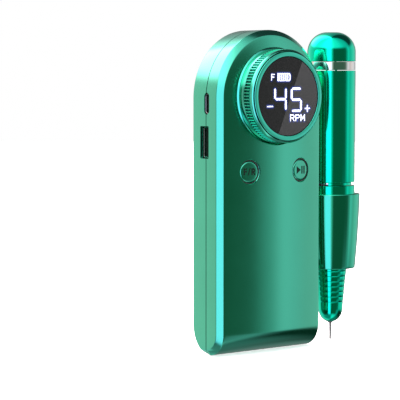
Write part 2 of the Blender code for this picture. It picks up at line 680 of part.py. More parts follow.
def chuck(axis):
    turned("release_sleeve", axis, "steel", tube(3.2, 4.9, 36.5, 44.6), INNER_SIDES)
    spring_bottom, spring_top = 45.0, 61.5
    turns, steps, sides, radius, wire_r = 5, 8, 4, 4.1, 0.4
    bm = bmesh.new()
    rings = []
    total = turns * steps
    for step in range(total + 1):
        angle = 2 * math.pi * step / steps
        height = spring_bottom + wire_r + (spring_top - spring_bottom - 2 * wire_r) * step / total
        ring = []
        for side in range(sides):
            turn = 2 * math.pi * side / sides
            reach = radius + wire_r * math.cos(turn)
            ring.append(bm.verts.new((reach * math.cos(angle), reach * math.sin(angle),
                                      height + wire_r * math.sin(turn))))
        rings.append(ring)
    for lower, upper in zip(rings, rings[1:]):
        for i in range(sides):
            j = (i + 1) % sides
            bm.faces.new((lower[i], lower[j], upper[j], upper[i]))
    bm.faces.new(rings[0])
    bm.faces.new(rings[-1])
    finish(bm, "chuck_spring", axis, "steel")


def bearing(name, axis, low, high, inner, outer, ball_r, race):
    """Outer race, inner race, and a cage with its balls between them."""
    turned(f"{name}_outer", axis, "steel", tube(outer - race, outer, low, high), INNER_SIDES)
    turned(f"{name}_inner", axis, "steel", tube(inner, inner + race, low, high), INNER_SIDES)
    track = (inner + outer) / 2
    middle = (low + high) / 2
    band = tube(track - ball_r * 0.45, track + ball_r * 0.45, middle - ball_r * 1.3, middle + ball_r * 1.3)
    cage = turned(f"{name}_cage", axis, "brass", band, SMALL_SIDES)
    bm = bmesh.new()
    for ball in range(6):
        angle = math.pi * ball / 3
        place = Matrix.Translation((track * math.cos(angle), track * math.sin(angle), middle))
        bmesh.ops.create_uvsphere(bm, u_segments=6, v_segments=4, radius=ball_r, matrix=place)
    return combine(cage, finish(bm, f"{name}_balls", axis, None), "UNION")


def dog_coupling(name, axis, plate, dogs, across):
    """Round plate with two dogs, bored for its shaft."""
    part = turned(name, axis, "brass", disc(3.3, *plate), INNER_SIDES)
    for side in (-1, 1):
        near, far = sorted((side * 1.7, side * 3.0))
        low, high = sorted(dogs)
        if across:
            dog = box(f"{name}_dog_{side + 1}", axis, None, (near, -0.8, low), (far, 0.8, high))
        else:
            dog = box(f"{name}_dog_{side + 1}", axis, None, (-0.8, near, low), (0.8, far, high))
        combine(part, dog, "UNION")
    bore = turned(f"{name}_bore", axis, None, disc(1.3, plate[0] - 5, plate[1] + 5), SMALL_SIDES)
    return combine(part, bore, "DIFFERENCE")


def spindle_group(axis):
    """Everything that turns with the motor, but the bit."""
    spindle = [(0, 74.8), (1.0, 74.8), (1.0, 70.3), (2.55, 70.0), (2.55, 52.0), (2.3, 51.6), (2.3, 13.8),
               (1.95, 13.5), (1.95, 40.0), (0, 40.0)]
    turned("spindle", axis, "steel", spindle, SMALL_SIDES)
    collet = turned("collet", axis, "steel", tube(1.4, 1.7, 13.9, 26.0), SMALL_SIDES)
    slot = box("collet_slot_cut", axis, None, (-0.2, -3, 13.0), (0.2, 3, 23.0))
    combine(collet, slot, "DIFFERENCE")
    dog_coupling("lower_coupling", axis, (72.2, 73.8), (73.0, 76.4), False)
    dog_coupling("upper_coupling", axis, (76.9, 78.5), (74.3, 77.5), True)
    turned("motor_shaft", axis, "steel", disc(1.0, 77.2, 117.4), SMALL_SIDES)
    outline = []
    poles = 5
    for pole in range(poles):
        middle = 360 * pole / poles
        outline += arc((0, 0), 6.2, middle - 30, middle + 30, 4)
        outline += arc((0, 0), 3.4, middle + 30, middle + 42, 1)
    core = prism("motor_armature", axis, "copper", outline, 90.0, 107.5, "Z")
    combine(core, turned("commutator", axis, None, disc(2.6, 106.0, 113.0), INNER_SIDES), "UNION")
    combine(core, turned("armature_bore", axis, None, disc(1.3, 85, 115), SMALL_SIDES), "DIFFERENCE")


def motor(axis):
    """Fixed parts of the motor inside the barrel."""
    profile = [(2.2, 84.0), (9.2, 84.0), (9.2, 116.4), (8.2, 116.4), (8.2, 85.0), (2.2, 85.0)]
    turned("motor_can", axis, "steel", profile, INNER_SIDES)
    turned("motor_magnet", axis, "magnet", tube(6.6, 7.9, 89.0, 108.5), INNER_SIDES)
    end_cap = turned("motor_end_cap", axis, "white_plastic", tube(1.4, 7.9, 113.6, 116.0), INNER_SIDES)
    for side, label in ((-1, "left"), (1, "right")):
        near, far = sorted((side * 2.9, side * 5.4))
        brush = box(f"{label}_brush", axis, None, (-0.9, near, 109.8), (0.9, far, 114.4))
        combine(end_cap, brush, "UNION")
    for side, label in ((-1, "red"), (1, "black")):
        route = ((side * 2.6, 0, 116.4), (side * 3.0, 0, 121.0), (side * 2.4, 0, 127.0), (side * 2.6, 0, 132.4))
        wire(f"motor_lead_{label}", axis, f"{label}_wire", route, 0.5, 3)


def bit(axis):
    """Shank gripped by the collet, stepping down to a fine needle."""
    profile = [(0, NEEDLE_TIP_Z), (0.16, NEEDLE_TIP_Z + 0.1), (0.3, NEEDLE_TIP_Z + 0.7), (NEEDLE_R, 7.6),
               (SHANK_R - 0.2, 8.3), (SHANK_R, 8.6), (SHANK_R, 38.0), (0, 38.0)]
    return turned("bit", axis, "chrome", profile, SMALL_SIDES)


# ---------------------------------------------------------------- assembly

def controller(rig):
    cavity = case_solid("case_hollow", rig, None, WALL, 20)
    cutters = socket_cutters(rig)
    front_shell(rig, cavity, cutters)
    rear_shell(rig, cavity, cutters)
    case_screws(rig)
    envelope = case_solid("case_envelope", rig, None, 0.0, 28)
    buttons(rig, envelope)
    dial_axis = empty("dial_axis", rig, (0, 0, DIAL_Z))
    for make in (dial_trim_ring, speed_dial, dial_retainer, dial_magnet_ring, display_hub, display_bezel,
                 display_lens, display_module):
        make(dial_axis)
    main_board(rig)
    battery(rig)
    sockets(rig)


def handpiece(rig):
    axis = empty("handpiece_axis", rig, (HAND_X, HAND_Y, 0))
    holder(rig, axis)
    handpiece_casing(axis)
    lock_collar(axis)
    grip(axis)
    chuck(axis)
    bearing("rear_bearing", axis, 62.0, 66.0, 2.85, 5.6, 0.42, 0.75)
    bearing("front_bearing", axis, 19.0, 21.6, 2.6, 4.25, 0.26, 0.42)
    spindle_group(axis)
    motor(axis)
    bit(axis)


def main():
    clear_scene()
    rig = empty("drill_frame", None, (-CENTRE_X, -CENTRE_Y, 0))
    controller(rig)
    handpiece(rig)


main()
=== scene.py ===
"""Looks of the electric nail drill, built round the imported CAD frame.

Shapes are written in millimetres in a design frame: X right, Y back, Z up, x = 0 at the middle of the controller,
y = 0 at the front edge of its sides and z = 0 under its base.  emit() moves them into the frame, in metres.
"""
import math

import bmesh
import bpy
from mathutils import Matrix, Vector
from mathutils.bvhtree import BVHTree
from mathutils.interpolate import poly_3d_calc


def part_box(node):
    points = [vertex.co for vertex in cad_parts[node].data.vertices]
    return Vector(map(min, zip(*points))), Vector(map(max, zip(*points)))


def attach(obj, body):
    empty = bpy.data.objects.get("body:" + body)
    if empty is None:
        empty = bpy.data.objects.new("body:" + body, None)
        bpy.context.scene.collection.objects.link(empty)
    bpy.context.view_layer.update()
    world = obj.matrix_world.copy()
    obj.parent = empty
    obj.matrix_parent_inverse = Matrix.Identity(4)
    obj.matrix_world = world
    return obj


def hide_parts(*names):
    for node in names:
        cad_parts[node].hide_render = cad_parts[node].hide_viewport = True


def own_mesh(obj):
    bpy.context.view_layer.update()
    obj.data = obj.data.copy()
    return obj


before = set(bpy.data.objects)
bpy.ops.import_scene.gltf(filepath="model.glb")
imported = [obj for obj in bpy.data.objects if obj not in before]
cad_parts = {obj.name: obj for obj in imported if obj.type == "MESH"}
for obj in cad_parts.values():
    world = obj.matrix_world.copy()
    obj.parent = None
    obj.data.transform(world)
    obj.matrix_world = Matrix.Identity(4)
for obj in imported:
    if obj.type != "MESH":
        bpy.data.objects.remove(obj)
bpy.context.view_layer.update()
MM = 0.001
BACK_Y = 15.78

rear_low, rear_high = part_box("rear_shell")
ORIGIN = Vector(((rear_low.x + rear_high.x) / 2, rear_high.y - BACK_Y * MM, rear_low.z))


def inside(node):
    """Corners of a CAD node's box, in the design frame."""
    return [(corner - ORIGIN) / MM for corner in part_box(node)]


def half_span(node):
    """Half of a CAD node's width: the radius of a round piece."""
    low, high = inside(node)
    return (high.x - low.x) / 2


case_low, case_high = inside("rear_shell")
HALF_WIDTH = half_span("rear_shell")
HEIGHT = case_high.z
ARC_Z = HEIGHT - HALF_WIDTH
RIM_INSET = 2.31
RIM_Y = -2.45
FRONT_Y = inside("front_shell")[0].y
WALL = 1.8
BACK_EDGE = 0.8
PARTING_Y = 6.5
PARTING_GAP = 0.42
FRONT_BEND = (7.3, 9.75, 10.0)
BACK_BEND = (3.18, 12.35, 12.6)

dial_low, dial_high = inside("speed_dial")
DIAL_Z = (dial_low.z + dial_high.z) / 2
TRIM_RADIUS = half_span("dial_trim_ring")
BEZEL_OUTER = half_span("display_bezel")
BEZEL_FRONT_Y = inside("display_bezel")[0].y
LENS_FRONT_Y = inside("display_lens")[0].y
LENS_RADIUS = half_span("display_lens")
# The lit marks sit a little right of and above the lens's centre
MARK_SHIFT = (0.25, 0.05)

fr_low, fr_high = inside("fr_button")
BUTTON_Z = (fr_low.z + fr_high.z) / 2
BUTTON_X = -(fr_low.x + fr_high.x) / 2
BUTTON_RADIUS = 4.7

barrel_low, barrel_high = inside("barrel")
HAND_X = (barrel_low.x + barrel_high.x) / 2
HAND_Y = (barrel_low.y + barrel_high.y) / 2
BARREL_R = half_span("lock_collar")
CAP_R = half_span("tail_cap")
CAP_CORNER = (1.9, 131.1, 9.0)
HOLDER_BOTTOM_Z, HOLDER_TOP_Z = (corner.z for corner in inside("holder"))
HOLDER_TOP_R = inside("holder")[1].x - HAND_X
HOLDER_TAPER = (0.0241, 0.0011)
SCREW_PLACES = ((24.0, 20.0), (18.6, 126.9))
# Closer points than this are one point
SAME_POINT = 0.0002
# Sides of the turned handpiece pieces
CASING_SIDES = 144
CHARGE_Y, CHARGE_Z = ((a + b) / 2 for a, b in list(zip(*inside("charge_socket_shell")))[1:])
OUTLET_Y, OUTLET_Z = ((a + b) / 2 for a, b in list(zip(*inside("outlet_socket_shell")))[1:])


# ---------------------------------------------------------------- materials

def node(tree, kind, **settings):
    made = tree.nodes.new(kind)
    for key, value in settings.items():
        if key in made.inputs:
            made.inputs[key].default_value = value
        else:
            setattr(made, key, value)
    return made


def calculate(tree, operation, *values):
    """Result of a Math node; each value is a number or a socket."""
    made = node(tree, "ShaderNodeMath", operation=operation)
    for socket, value in zip(made.inputs, values):
        if isinstance(value, (int, float)):
            socket.default_value = value
        else:
            tree.links.new(value, socket)
    return made.outputs[0]


def map_range(tree, source, low, high, to_low=0.0, to_high=1.0, smooth=False):
    made = node(tree, "ShaderNodeMapRange", interpolation_type="SMOOTHSTEP" if smooth else "LINEAR")
    for key, value in (("From Min", low), ("From Max", high), ("To Min", to_low), ("To Max", to_high)):
        made.inputs[key].default_value = value
    tree.links.new(source, made.inputs["Value"])
    return made.outputs["Result"]


def mix_colours(tree, factor, first, second):
    """Blend of two colours, each a socket or a plain colour."""
    made = node(tree, "ShaderNodeMix", data_type="RGBA")
    tree.links.new(factor, made.inputs["Factor"])
    for key, value in (("A", first), ("B", second)):
        if isinstance(value, tuple):
            made.inputs[key].default_value = value
        else:
            tree.links.new(value, made.inputs[key])
    return made.outputs["Result"]


# Noise below and above these levels has the ends of a material's colour and roughness
NOISE_LOW, NOISE_HIGH = 0.3, 0.7


def surface(name, colour, metallic, roughness, grain=900.0, vary=0.06, bump=0.02, bump_depth=0.00002,
            stretch=(1, 1, 1), cloud=60.0, **fixed):
    """A Principled material whose colour, roughness and bump follow two sizes of noise."""
    made = bpy.data.materials.new(name)
    made.use_nodes = True
    tree = made.node_tree
    shader = tree.nodes["Principled BSDF"]
    shader.inputs["Metallic"].default_value = metallic
    for key, value in fixed.items():
        shader.inputs[key.replace("_", " ")].default_value = value
    where = node(tree, "ShaderNodeTexCoord")
    scaled = node(tree, "ShaderNodeMapping", Scale=stretch)
    tree.links.new(where.outputs["Object"], scaled.inputs["Vector"])
    fine = node(tree, "ShaderNodeTexNoise", Scale=grain, Detail=4.0, Roughness=0.6)
    broad = node(tree, "ShaderNodeTexNoise", Scale=cloud, Detail=3.0, Roughness=0.5)
    tree.links.new(scaled.outputs["Vector"], fine.inputs["Vector"])
    tree.links.new(where.outputs["Object"], broad.inputs["Vector"])
    ramp = node(tree, "ShaderNodeValToRGB")
    ends = zip(ramp.color_ramp.elements, (NOISE_LOW, NOISE_HIGH), (1 - vary, 1 + vary))
    for element, spot, share in ends:
        element.position = spot
        element.color = (*(min(c * share, 1) for c in colour), 1)
    coarse = calculate(tree, "MULTIPLY", broad.outputs["Fac"], 0.5)
    blend = calculate(tree, "MULTIPLY_ADD", fine.outputs["Fac"], 0.5, coarse)
    tree.links.new(blend, ramp.inputs["Fac"])
    tree.links.new(ramp.outputs["Color"], shader.inputs["Base Color"])
    spread = map_range(tree, blend, NOISE_LOW, NOISE_HIGH, roughness * 0.85, roughness * 1.15)
    tree.links.new(spread, shader.inputs["Roughness"])
    lift = node(tree, "ShaderNodeBump", Strength=bump, Distance=bump_depth)
    tree.links.new(fine.outputs["Fac"], lift.inputs["Height"])
    tree.links.new(lift.outputs["Normal"], shader.inputs["Normal"])
    return made


CASE = surface("case_paint", (0.085, 0.64, 0.45), 1.0, 0.18, grain=2600, vary=0.05, bump=0.05,
               Coat_Weight=0.35, Coat_Roughness=0.12)
DIAL = surface("dial_paint", (0.07, 0.72, 0.54), 1.0, 0.13, grain=2600, vary=0.05, bump=0.03,
               Coat_Weight=0.4, Coat_Roughness=0.05)
BARREL = surface("barrel_paint", (0.004, 0.78, 0.50), 1.0, 0.11, grain=1800, vary=0.04, bump=0.015)
HOLDER = surface("holder_paint", (0.06, 0.62, 0.42), 1.0, 0.11, grain=2200, vary=0.05, bump=0.03)
CHROME = surface("chrome_plate", (0.86, 0.87, 0.88), 1.0, 0.05, grain=1500, vary=0.03, bump=0.01,
                 stretch=(0.2, 0.2, 1))
STEEL = surface("turned_steel", (0.52, 0.53, 0.55), 1.0, 0.24, grain=1600, vary=0.12, bump=0.1,
                stretch=(0.1, 0.1, 1))
SOCKET = surface("drawn_steel", (0.34, 0.33, 0.335), 1.0, 0.2, grain=1800, vary=0.10, bump=0.06,
                 stretch=(0.15, 1, 1))
BIT = surface("ground_carbide", (0.24, 0.23, 0.23), 1.0, 0.2, grain=2400, vary=0.15, bump=0.12,
              stretch=(1, 1, 0.2))
# Black mouldings; the same paint is also painted shade in the handpiece's groove
BLACK = surface("black_moulding_and_shade", (0.022, 0.022, 0.024), 0.0, 0.5, grain=1400, vary=0.25, bump=0.2)
WHITE = surface("white_moulding", (0.72, 0.72, 0.70), 0.0, 0.45, grain=1200, vary=0.06, bump=0.15)
BOARD = surface("solder_mask", (0.018, 0.15, 0.07), 0.0, 0.35, grain=700, vary=0.30, bump=0.2, Coat_Weight=0.3)
WRAP = surface("shrink_film", (0.05, 0.12, 0.34), 0.0, 0.28, grain=350, vary=0.10, bump=0.3, Coat_Weight=0.4)
COPPER = surface("enamelled_wire", (0.72, 0.33, 0.16), 1.0, 0.3, grain=2200, vary=0.18, bump=0.4,
                 stretch=(1, 1, 0.15))
BRASS = surface("turned_brass", (0.76, 0.57, 0.24), 1.0, 0.25, grain=1500, vary=0.10, bump=0.08)
MAGNET = surface("sintered_magnet", (0.10, 0.10, 0.11), 0.5, 0.5, grain=1800, vary=0.25, bump=0.5)
RED = surface("red_insulation", (0.55, 0.025, 0.02), 0.0, 0.42, grain=1300, vary=0.10, bump=0.1)
DARK = surface("black_insulation", (0.018, 0.018, 0.02), 0.0, 0.42, grain=1300, vary=0.20, bump=0.1)
# Ink of the key marks; the same near-black paint is also the painted shade inside the sockets
INK_AND_SHADE = surface("engraved_ink_and_shade", (0.004, 0.012, 0.008), 0.0, 0.6, grain=2500, vary=0.2, bump=0.1,
              Specular_IOR_Level=0.1)


# Painted reflection on the glass, a lighter part beyond a line: its edge leans right as it rises, and crosses the
# middle height PAINTED_REFLECTION_X mm off centre
PAINTED_REFLECTION_SLOPE = 13.0 / 30.0
PAINTED_REFLECTION_X = 1.55
PAINTED_REFLECTION_EDGE = 0.12
PAINTED_REFLECTION_COLOUR = (0.029, 0.029, 0.030, 1)
GLOW_COLOUR = (0.03, 0.10, 0.75, 1)
# Painted shade on the floors of the knurl's slots
SLOT_SHADE_COLOUR = (0.008, 0.07, 0.045, 1)


def painted(made):
    """Tree, shader and colour output of a surface() material."""
    tree = made.node_tree
    ramp = next(n for n in tree.nodes if n.bl_idname == "ShaderNodeValToRGB")
    return tree, tree.nodes["Principled BSDF"], ramp.outputs["Color"]


def lens_glass():
    """Smoked glass with a painted reflection, a shade lighter beyond a slanting line, and the display's blue glow
    round its lit marks.
    """
    made = surface("smoked_glass", (0.0055, 0.0055, 0.0058), 0.0, 0.07, grain=900, vary=0.10, bump=0.01,
                   Coat_Weight=0.15, Coat_Roughness=0.02, Specular_IOR_Level=0.2)
    tree, shader, colour = painted(made)
    where = node(tree, "ShaderNodeTexCoord")
    split = node(tree, "ShaderNodeSeparateXYZ")
    tree.links.new(where.outputs["Object"], split.inputs[0])
    centre = ORIGIN + Vector((0, 0, DIAL_Z)) * MM
    # Painted reflection: lighter past the slanting line, and a little weaker lower on the glass
    start = PAINTED_REFLECTION_SLOPE * centre.z - centre.x - PAINTED_REFLECTION_X * MM
    lean = calculate(tree, "MULTIPLY_ADD", split.outputs["Z"], -PAINTED_REFLECTION_SLOPE, start)
    past = calculate(tree, "ADD", split.outputs["X"], lean)
    step = map_range(tree, past, -PAINTED_REFLECTION_EDGE * MM, PAINTED_REFLECTION_EDGE * MM, smooth=True)
    fall = map_range(tree, split.outputs["Z"], centre.z - 15 * MM, centre.z + 15 * MM, 0.8, 1.0)
    share = calculate(tree, "MULTIPLY", step, fall)
    tree.links.new(mix_colours(tree, share, colour, PAINTED_REFLECTION_COLOUR), shader.inputs["Base Color"])
    glow = node(tree, "ShaderNodeAttribute", attribute_name="glow")
    shader.inputs["Emission Color"].default_value = GLOW_COLOUR
    tree.links.new(glow.outputs["Fac"], shader.inputs["Emission Strength"])
    return made


def light_mark():
    """Lit display mark: nearly even white light, a little bluer in places."""
    made = surface("lit_mark", (0.8, 0.82, 0.9), 0.0, 0.4, grain=1500, vary=0.04, bump=0.02,
                   Emission_Strength=0.95)
    tree, shader, colour = painted(made)
    tree.links.new(colour, shader.inputs["Emission Color"])
    return made


def knurl_with_slot_shade():
    """The dial's paint, darkened to near black as painted shade wherever the mesh attribute says that a slot is cut.
    """
    made = surface("dial_knurl_with_slot_shade", (0.09, 0.72, 0.52), 1.0, 0.13, grain=2600, vary=0.05, bump=0.03,
                   Coat_Weight=0.4, Coat_Roughness=0.05)
    tree, shader, colour = painted(made)
    painted_slot_shade = node(tree, "ShaderNodeAttribute", attribute_name="painted_slot_shade")
    tree.links.new(mix_colours(tree, painted_slot_shade.outputs["Fac"], colour, SLOT_SHADE_COLOUR), shader.inputs["Base Color"])
    return made


LENS = lens_glass()
LIT = light_mark()
KNURL = knurl_with_slot_shade()


# ---------------------------------------------------------------- mesh tools

def emit(bm, name, mat, body, replaced=(), slot=None, angle=28):
    """Turn a bmesh in design millimetres into a piece that rides on a body."""
    bmesh.ops.remove_doubles(bm, verts=bm.verts, dist=SAME_POINT)
    bmesh.ops.recalc_face_normals(bm, faces=bm.faces)
    for vert in bm.verts:
        vert.co = ORIGIN + vert.co * MM
    mesh = bpy.data.meshes.new(name)
    bm.to_mesh(mesh)
    bm.free()
    mesh.shade_smooth()
    mesh.set_sharp_from_angle(angle=math.radians(angle))
    made = bpy.data.objects.new(name, mesh)
    bpy.context.collection.objects.link(made)
    if mat is None:
        made.hide_render = True
        return made
    mesh.materials.append(mat)
    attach(made, body)
    if replaced:
        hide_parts(*replaced)
    return made


def add_turned(bm, profile, steps, axis="Z", at=(0, 0, 0)):
    fresh = [bm.verts.new((radius, 0, height)) for radius, height in profile]
    solid = profile[0][0] == 0 and profile[-1][0] == 0
    edges = [bm.edges.new(pair) for pair in zip(fresh, fresh[1:])]
    if not solid:
        edges.append(bm.edges.new((fresh[-1], fresh[0])))
    before = set(bm.verts) - set(fresh)
    bmesh.ops.spin(bm, geom=fresh + edges, cent=(0, 0, 0), axis=(0, 0, 1), angle=2 * math.pi, steps=steps,
                   use_merge=True, dvec=(0, 0, 0))
    fresh = [vert for vert in bm.verts if vert not in before]
    turn = {"Z": Matrix.Identity(3), "Y": Matrix.Rotation(-math.pi / 2, 3, "X"),
            "X": Matrix.Rotation(math.pi / 2, 3, "Y")}[axis]
    bmesh.ops.rotate(bm, cent=(0, 0, 0), matrix=turn, verts=fresh)
    bmesh.ops.translate(bm, vec=at, verts=fresh)
    bmesh.ops.remove_doubles(bm, verts=fresh, dist=SAME_POINT)


def soften(profile, radius, closed=True, steps=3):
    """Round a (radius, height) profile's corners; points on the axis stay."""
    count = len(profile)
    result = []
    for i, point in enumerate(profile):
        if point[0] == 0 or (not closed and i in (0, count - 1)):
            result.append(point)
            continue
        here = Vector(point)
        before = Vector(profile[i - 1]) - here
        after = Vector(profile[(i + 1) % count]) - here
        turn = before.angle(after)
        if turn > math.radians(165):
            result.append(point)
            continue
        reach = min(radius / math.tan(turn / 2), before.length * 0.45, after.length * 0.45)
        start = here + before.normalized() * reach
        end = here + after.normalized() * reach
        for step in range(steps + 1):
            t = step / steps
            spot = start * (1 - t) ** 2 + here * 2 * t * (1 - t) + end * t ** 2
            result.append((max(spot.x, 0.0), spot.y))
    return result


def turned(name, mat, body, profile, steps=128, axis="Z", at=(0, 0, 0), round_to=0.15, **rest):
    bm = bmesh.new()
    add_turned(bm, soften(profile, round_to) if round_to else profile, steps, axis, at)
    return emit(bm, name, mat, body, **rest)


def add_box(bm, low, high, bevel=0.0):
    size = Vector(high) - Vector(low)
    middle = (Vector(high) + Vector(low)) / 2
    matrix = Matrix.Translation(middle) @ Matrix.Diagonal((*size, 1))
    verts = bmesh.ops.create_cube(bm, size=1, matrix=matrix)["verts"]
    if bevel:
        edges = list({edge for vert in verts for edge in vert.link_edges})
        bmesh.ops.bevel(bm, geom=edges, offset=bevel, segments=3, profile=0.5, affect="EDGES")


def arc(centre, radius, start, end, steps):
    """Points along an arc, angles in degrees, both ends included."""
    angles = [math.radians(start + (end - start) * step / steps) for step in range(steps + 1)]
    return [(centre[0] + radius * math.cos(angle), centre[1] + radius * math.sin(angle)) for angle in angles]


def circle(centre, radius, count):
    """Evenly spaced points all round."""
    angles = [2 * math.pi * k / count for k in range(count)]
    return [(centre[0] + radius * math.cos(angle), centre[1] + radius * math.sin(angle)) for angle in angles]


def rounded_rectangle(centre, half_a, half_b, radius, steps=8):
    points = []
    corners = ((half_a, half_b, 0), (-half_a, half_b, 90), (-half_a, -half_b, 180), (half_a, -half_b, 270))
    for a, b, start in corners:
        middle = (centre[0] + a - math.copysign(radius, a), centre[1] + b - math.copysign(radius, b))
        points += arc(middle, radius, start, start + 90, steps)
    return points


def rectangle(left, bottom, right, top):
    return [Vector(p) for p in ((left, bottom), (right, bottom), (right, top), (left, top))]


def bridge(bm, rings, closed=False):
    """Quads between neighbouring rings of points; closed joins the last ring to the first as well."""
    following = rings[1:] + rings[:1] if closed else rings[1:]
    for first, second in zip(rings, following):
        for i in range(len(first)):
            j = (i + 1) % len(first)
            bm.faces.new((first[i], first[j], second[j], second[i]))


def fill_disc(bm, middle, rings):
    """Closed body from a middle point out over the rings, with the last ring as its flat back."""
    inner = rings[0]
    for i, corner in enumerate(inner):
        bm.faces.new((middle, corner, inner[(i + 1) % len(inner)]))
    bridge(bm, rings)
    bm.faces.new(rings[-1])


def add_prism(bm, outline, low, high, axis):
    def point(pair, height):
        first, second = pair
        return {"X": (height, first, second), "Y": (first, height, second), "Z": (first, second, height)}[axis]

    face = bm.faces.new([bm.verts.new(point(pair, low)) for pair in outline])
    moved = [item for item in bmesh.ops.extrude_face_region(bm, geom=[face])["geom"]
             if isinstance(item, bmesh.types.BMVert)]
    bmesh.ops.translate(bm, vec=Vector(point((0, 0), high - low)), verts=moved)


def cut(target, cutters, operation="DIFFERENCE"):
    """Apply a chain of Booleans and keep only the result."""
    for cutter in cutters:
        step = target.modifiers.new("cut", "BOOLEAN")
        step.operation = operation
        step.solver = "EXACT"
        step.object = cutter
    bake(target)


def bake(target):
    graph = bpy.context.evaluated_depsgraph_get()
    result = bpy.data.meshes.new_from_object(target.evaluated_get(graph))
    target.modifiers.clear()
    target.data = result


def drop(*objects):
    for made in objects:
        bpy.data.objects.remove(made, do_unlink=True)


def follow(target, guide, angle=28):
    """Give a cut mesh the smooth normals of the uncut surface it lies on, and its own elsewhere."""
    bm = bmesh.new()
    bm.from_mesh(guide.data)
    bmesh.ops.triangulate(bm, faces=bm.faces)
    bm.faces.ensure_lookup_table()
    tree = BVHTree.FromBMesh(bm)
    mesh = target.data
    mesh.shade_smooth()
    mesh.set_sharp_from_angle(angle=math.radians(angle))
    normals = [Vector(n.vector) for n in mesh.corner_normals]
    for polygon in mesh.polygons:
        for loop in polygon.loop_indices:
            place = mesh.vertices[mesh.loops[loop].vertex_index].co
            spot, _, index, distance = tree.find_nearest(place)
            if spot is None or distance > 0.004 * MM:
                continue
            corners = bm.faces[index].verts
            weights = poly_3d_calc([vert.co for vert in corners], spot)
            smooth = sum((vert.normal * weight for vert, weight in zip(corners, weights)), Vector())
            if smooth.length > 0 and smooth.normalized().dot(polygon.normal) > 0.8:
                normals[loop] = smooth.normalized()
    bm.free()
    mesh.normals_split_custom_set(normals)


# ---------------------------------------------------------------- controller case

def bend_y(bend, height, wall, side):
    centre_y, centre_z, radius = bend
    reach = radius - wall
    if height >= centre_z:
        return centre_y + side * reach
    return centre_y + side * math.sqrt(max(reach ** 2 - (centre_z - height) ** 2, 0.0))


def face_y(x, z):
    """Depth of the domed front face above the lower bend."""
    reach = abs(x) if z < ARC_Z else math.hypot(x, z - ARC_Z)
    share = reach / (HALF_WIDTH - RIM_INSET)
    return RIM_Y + (FRONT_Y - RIM_Y) * (1 - share ** 2)


def case_section(height, wall, fine):
    """Right half of the case's level section, from the middle of the front to the middle of the back."""
    half = HALF_WIDTH - wall
    rim_x = HALF_WIDTH - RIM_INSET - wall * 0.5
    rim_y = bend_y(FRONT_BEND, height, wall, -1)
    foot = RIM_INSET + wall
    if height < foot:
        half = rim_x + (half - rim_x) * (0.2 + 0.8 * (height - wall) / RIM_INSET)
    fade = math.sin(math.pi / 2 * min(1.0, (height - wall) / FRONT_BEND[1]))
    points = []
    steps = 20 if fine else 4
    for step in range(steps + 1):
        share = step / steps
        points.append(Vector((rim_x * share, rim_y + (FRONT_Y - RIM_Y) * (1 - share ** 2) * fade)))
    back_y = bend_y(BACK_BEND, height, wall, 1)
    inner = (FRONT_BEND[0], FRONT_BEND[1], FRONT_BEND[2] + RIM_Y + wall * 0.5)
    side_y = min(bend_y(inner, max(height, foot), wall, -1), (rim_y + back_y) / 2)
    edge = min(BACK_EDGE, (back_y - side_y) * 0.4, (half - rim_x) * 0.8)
    if not fine:
        back = ((half, side_y), (half, back_y - edge), (half - edge * 0.3, back_y - edge * 0.3),
                (half - edge, back_y), (0.0, back_y))
        return points + [Vector(p) for p in back]
    rim = points.pop()
    corner = Vector((half, side_y))
    tail = Vector((half, back_y - edge))
    span = (corner - rim).length
    reach = min(0.22, span * 0.3)
    points += round_corner(points[-1], rim, corner, reach)
    points += round_corner(rim, corner, tail, min(reach, (tail - corner).length * 0.3))
    centre = (half - edge, back_y - edge)
    points += [Vector(p) for p in arc(centre, edge, 0, 90, 6)]
    points += [Vector((half * 0.5, back_y)), Vector((0.0, back_y))]
    return points


def round_corner(before, here, after, reach, steps=4):
    start = here + (before - here).normalized() * reach
    end = here + (after - here).normalized() * reach
    return [start * (1 - s / steps) ** 2 + here * 2 * (s / steps) * (1 - s / steps) + end * (s / steps) ** 2
            for s in range(steps + 1)]


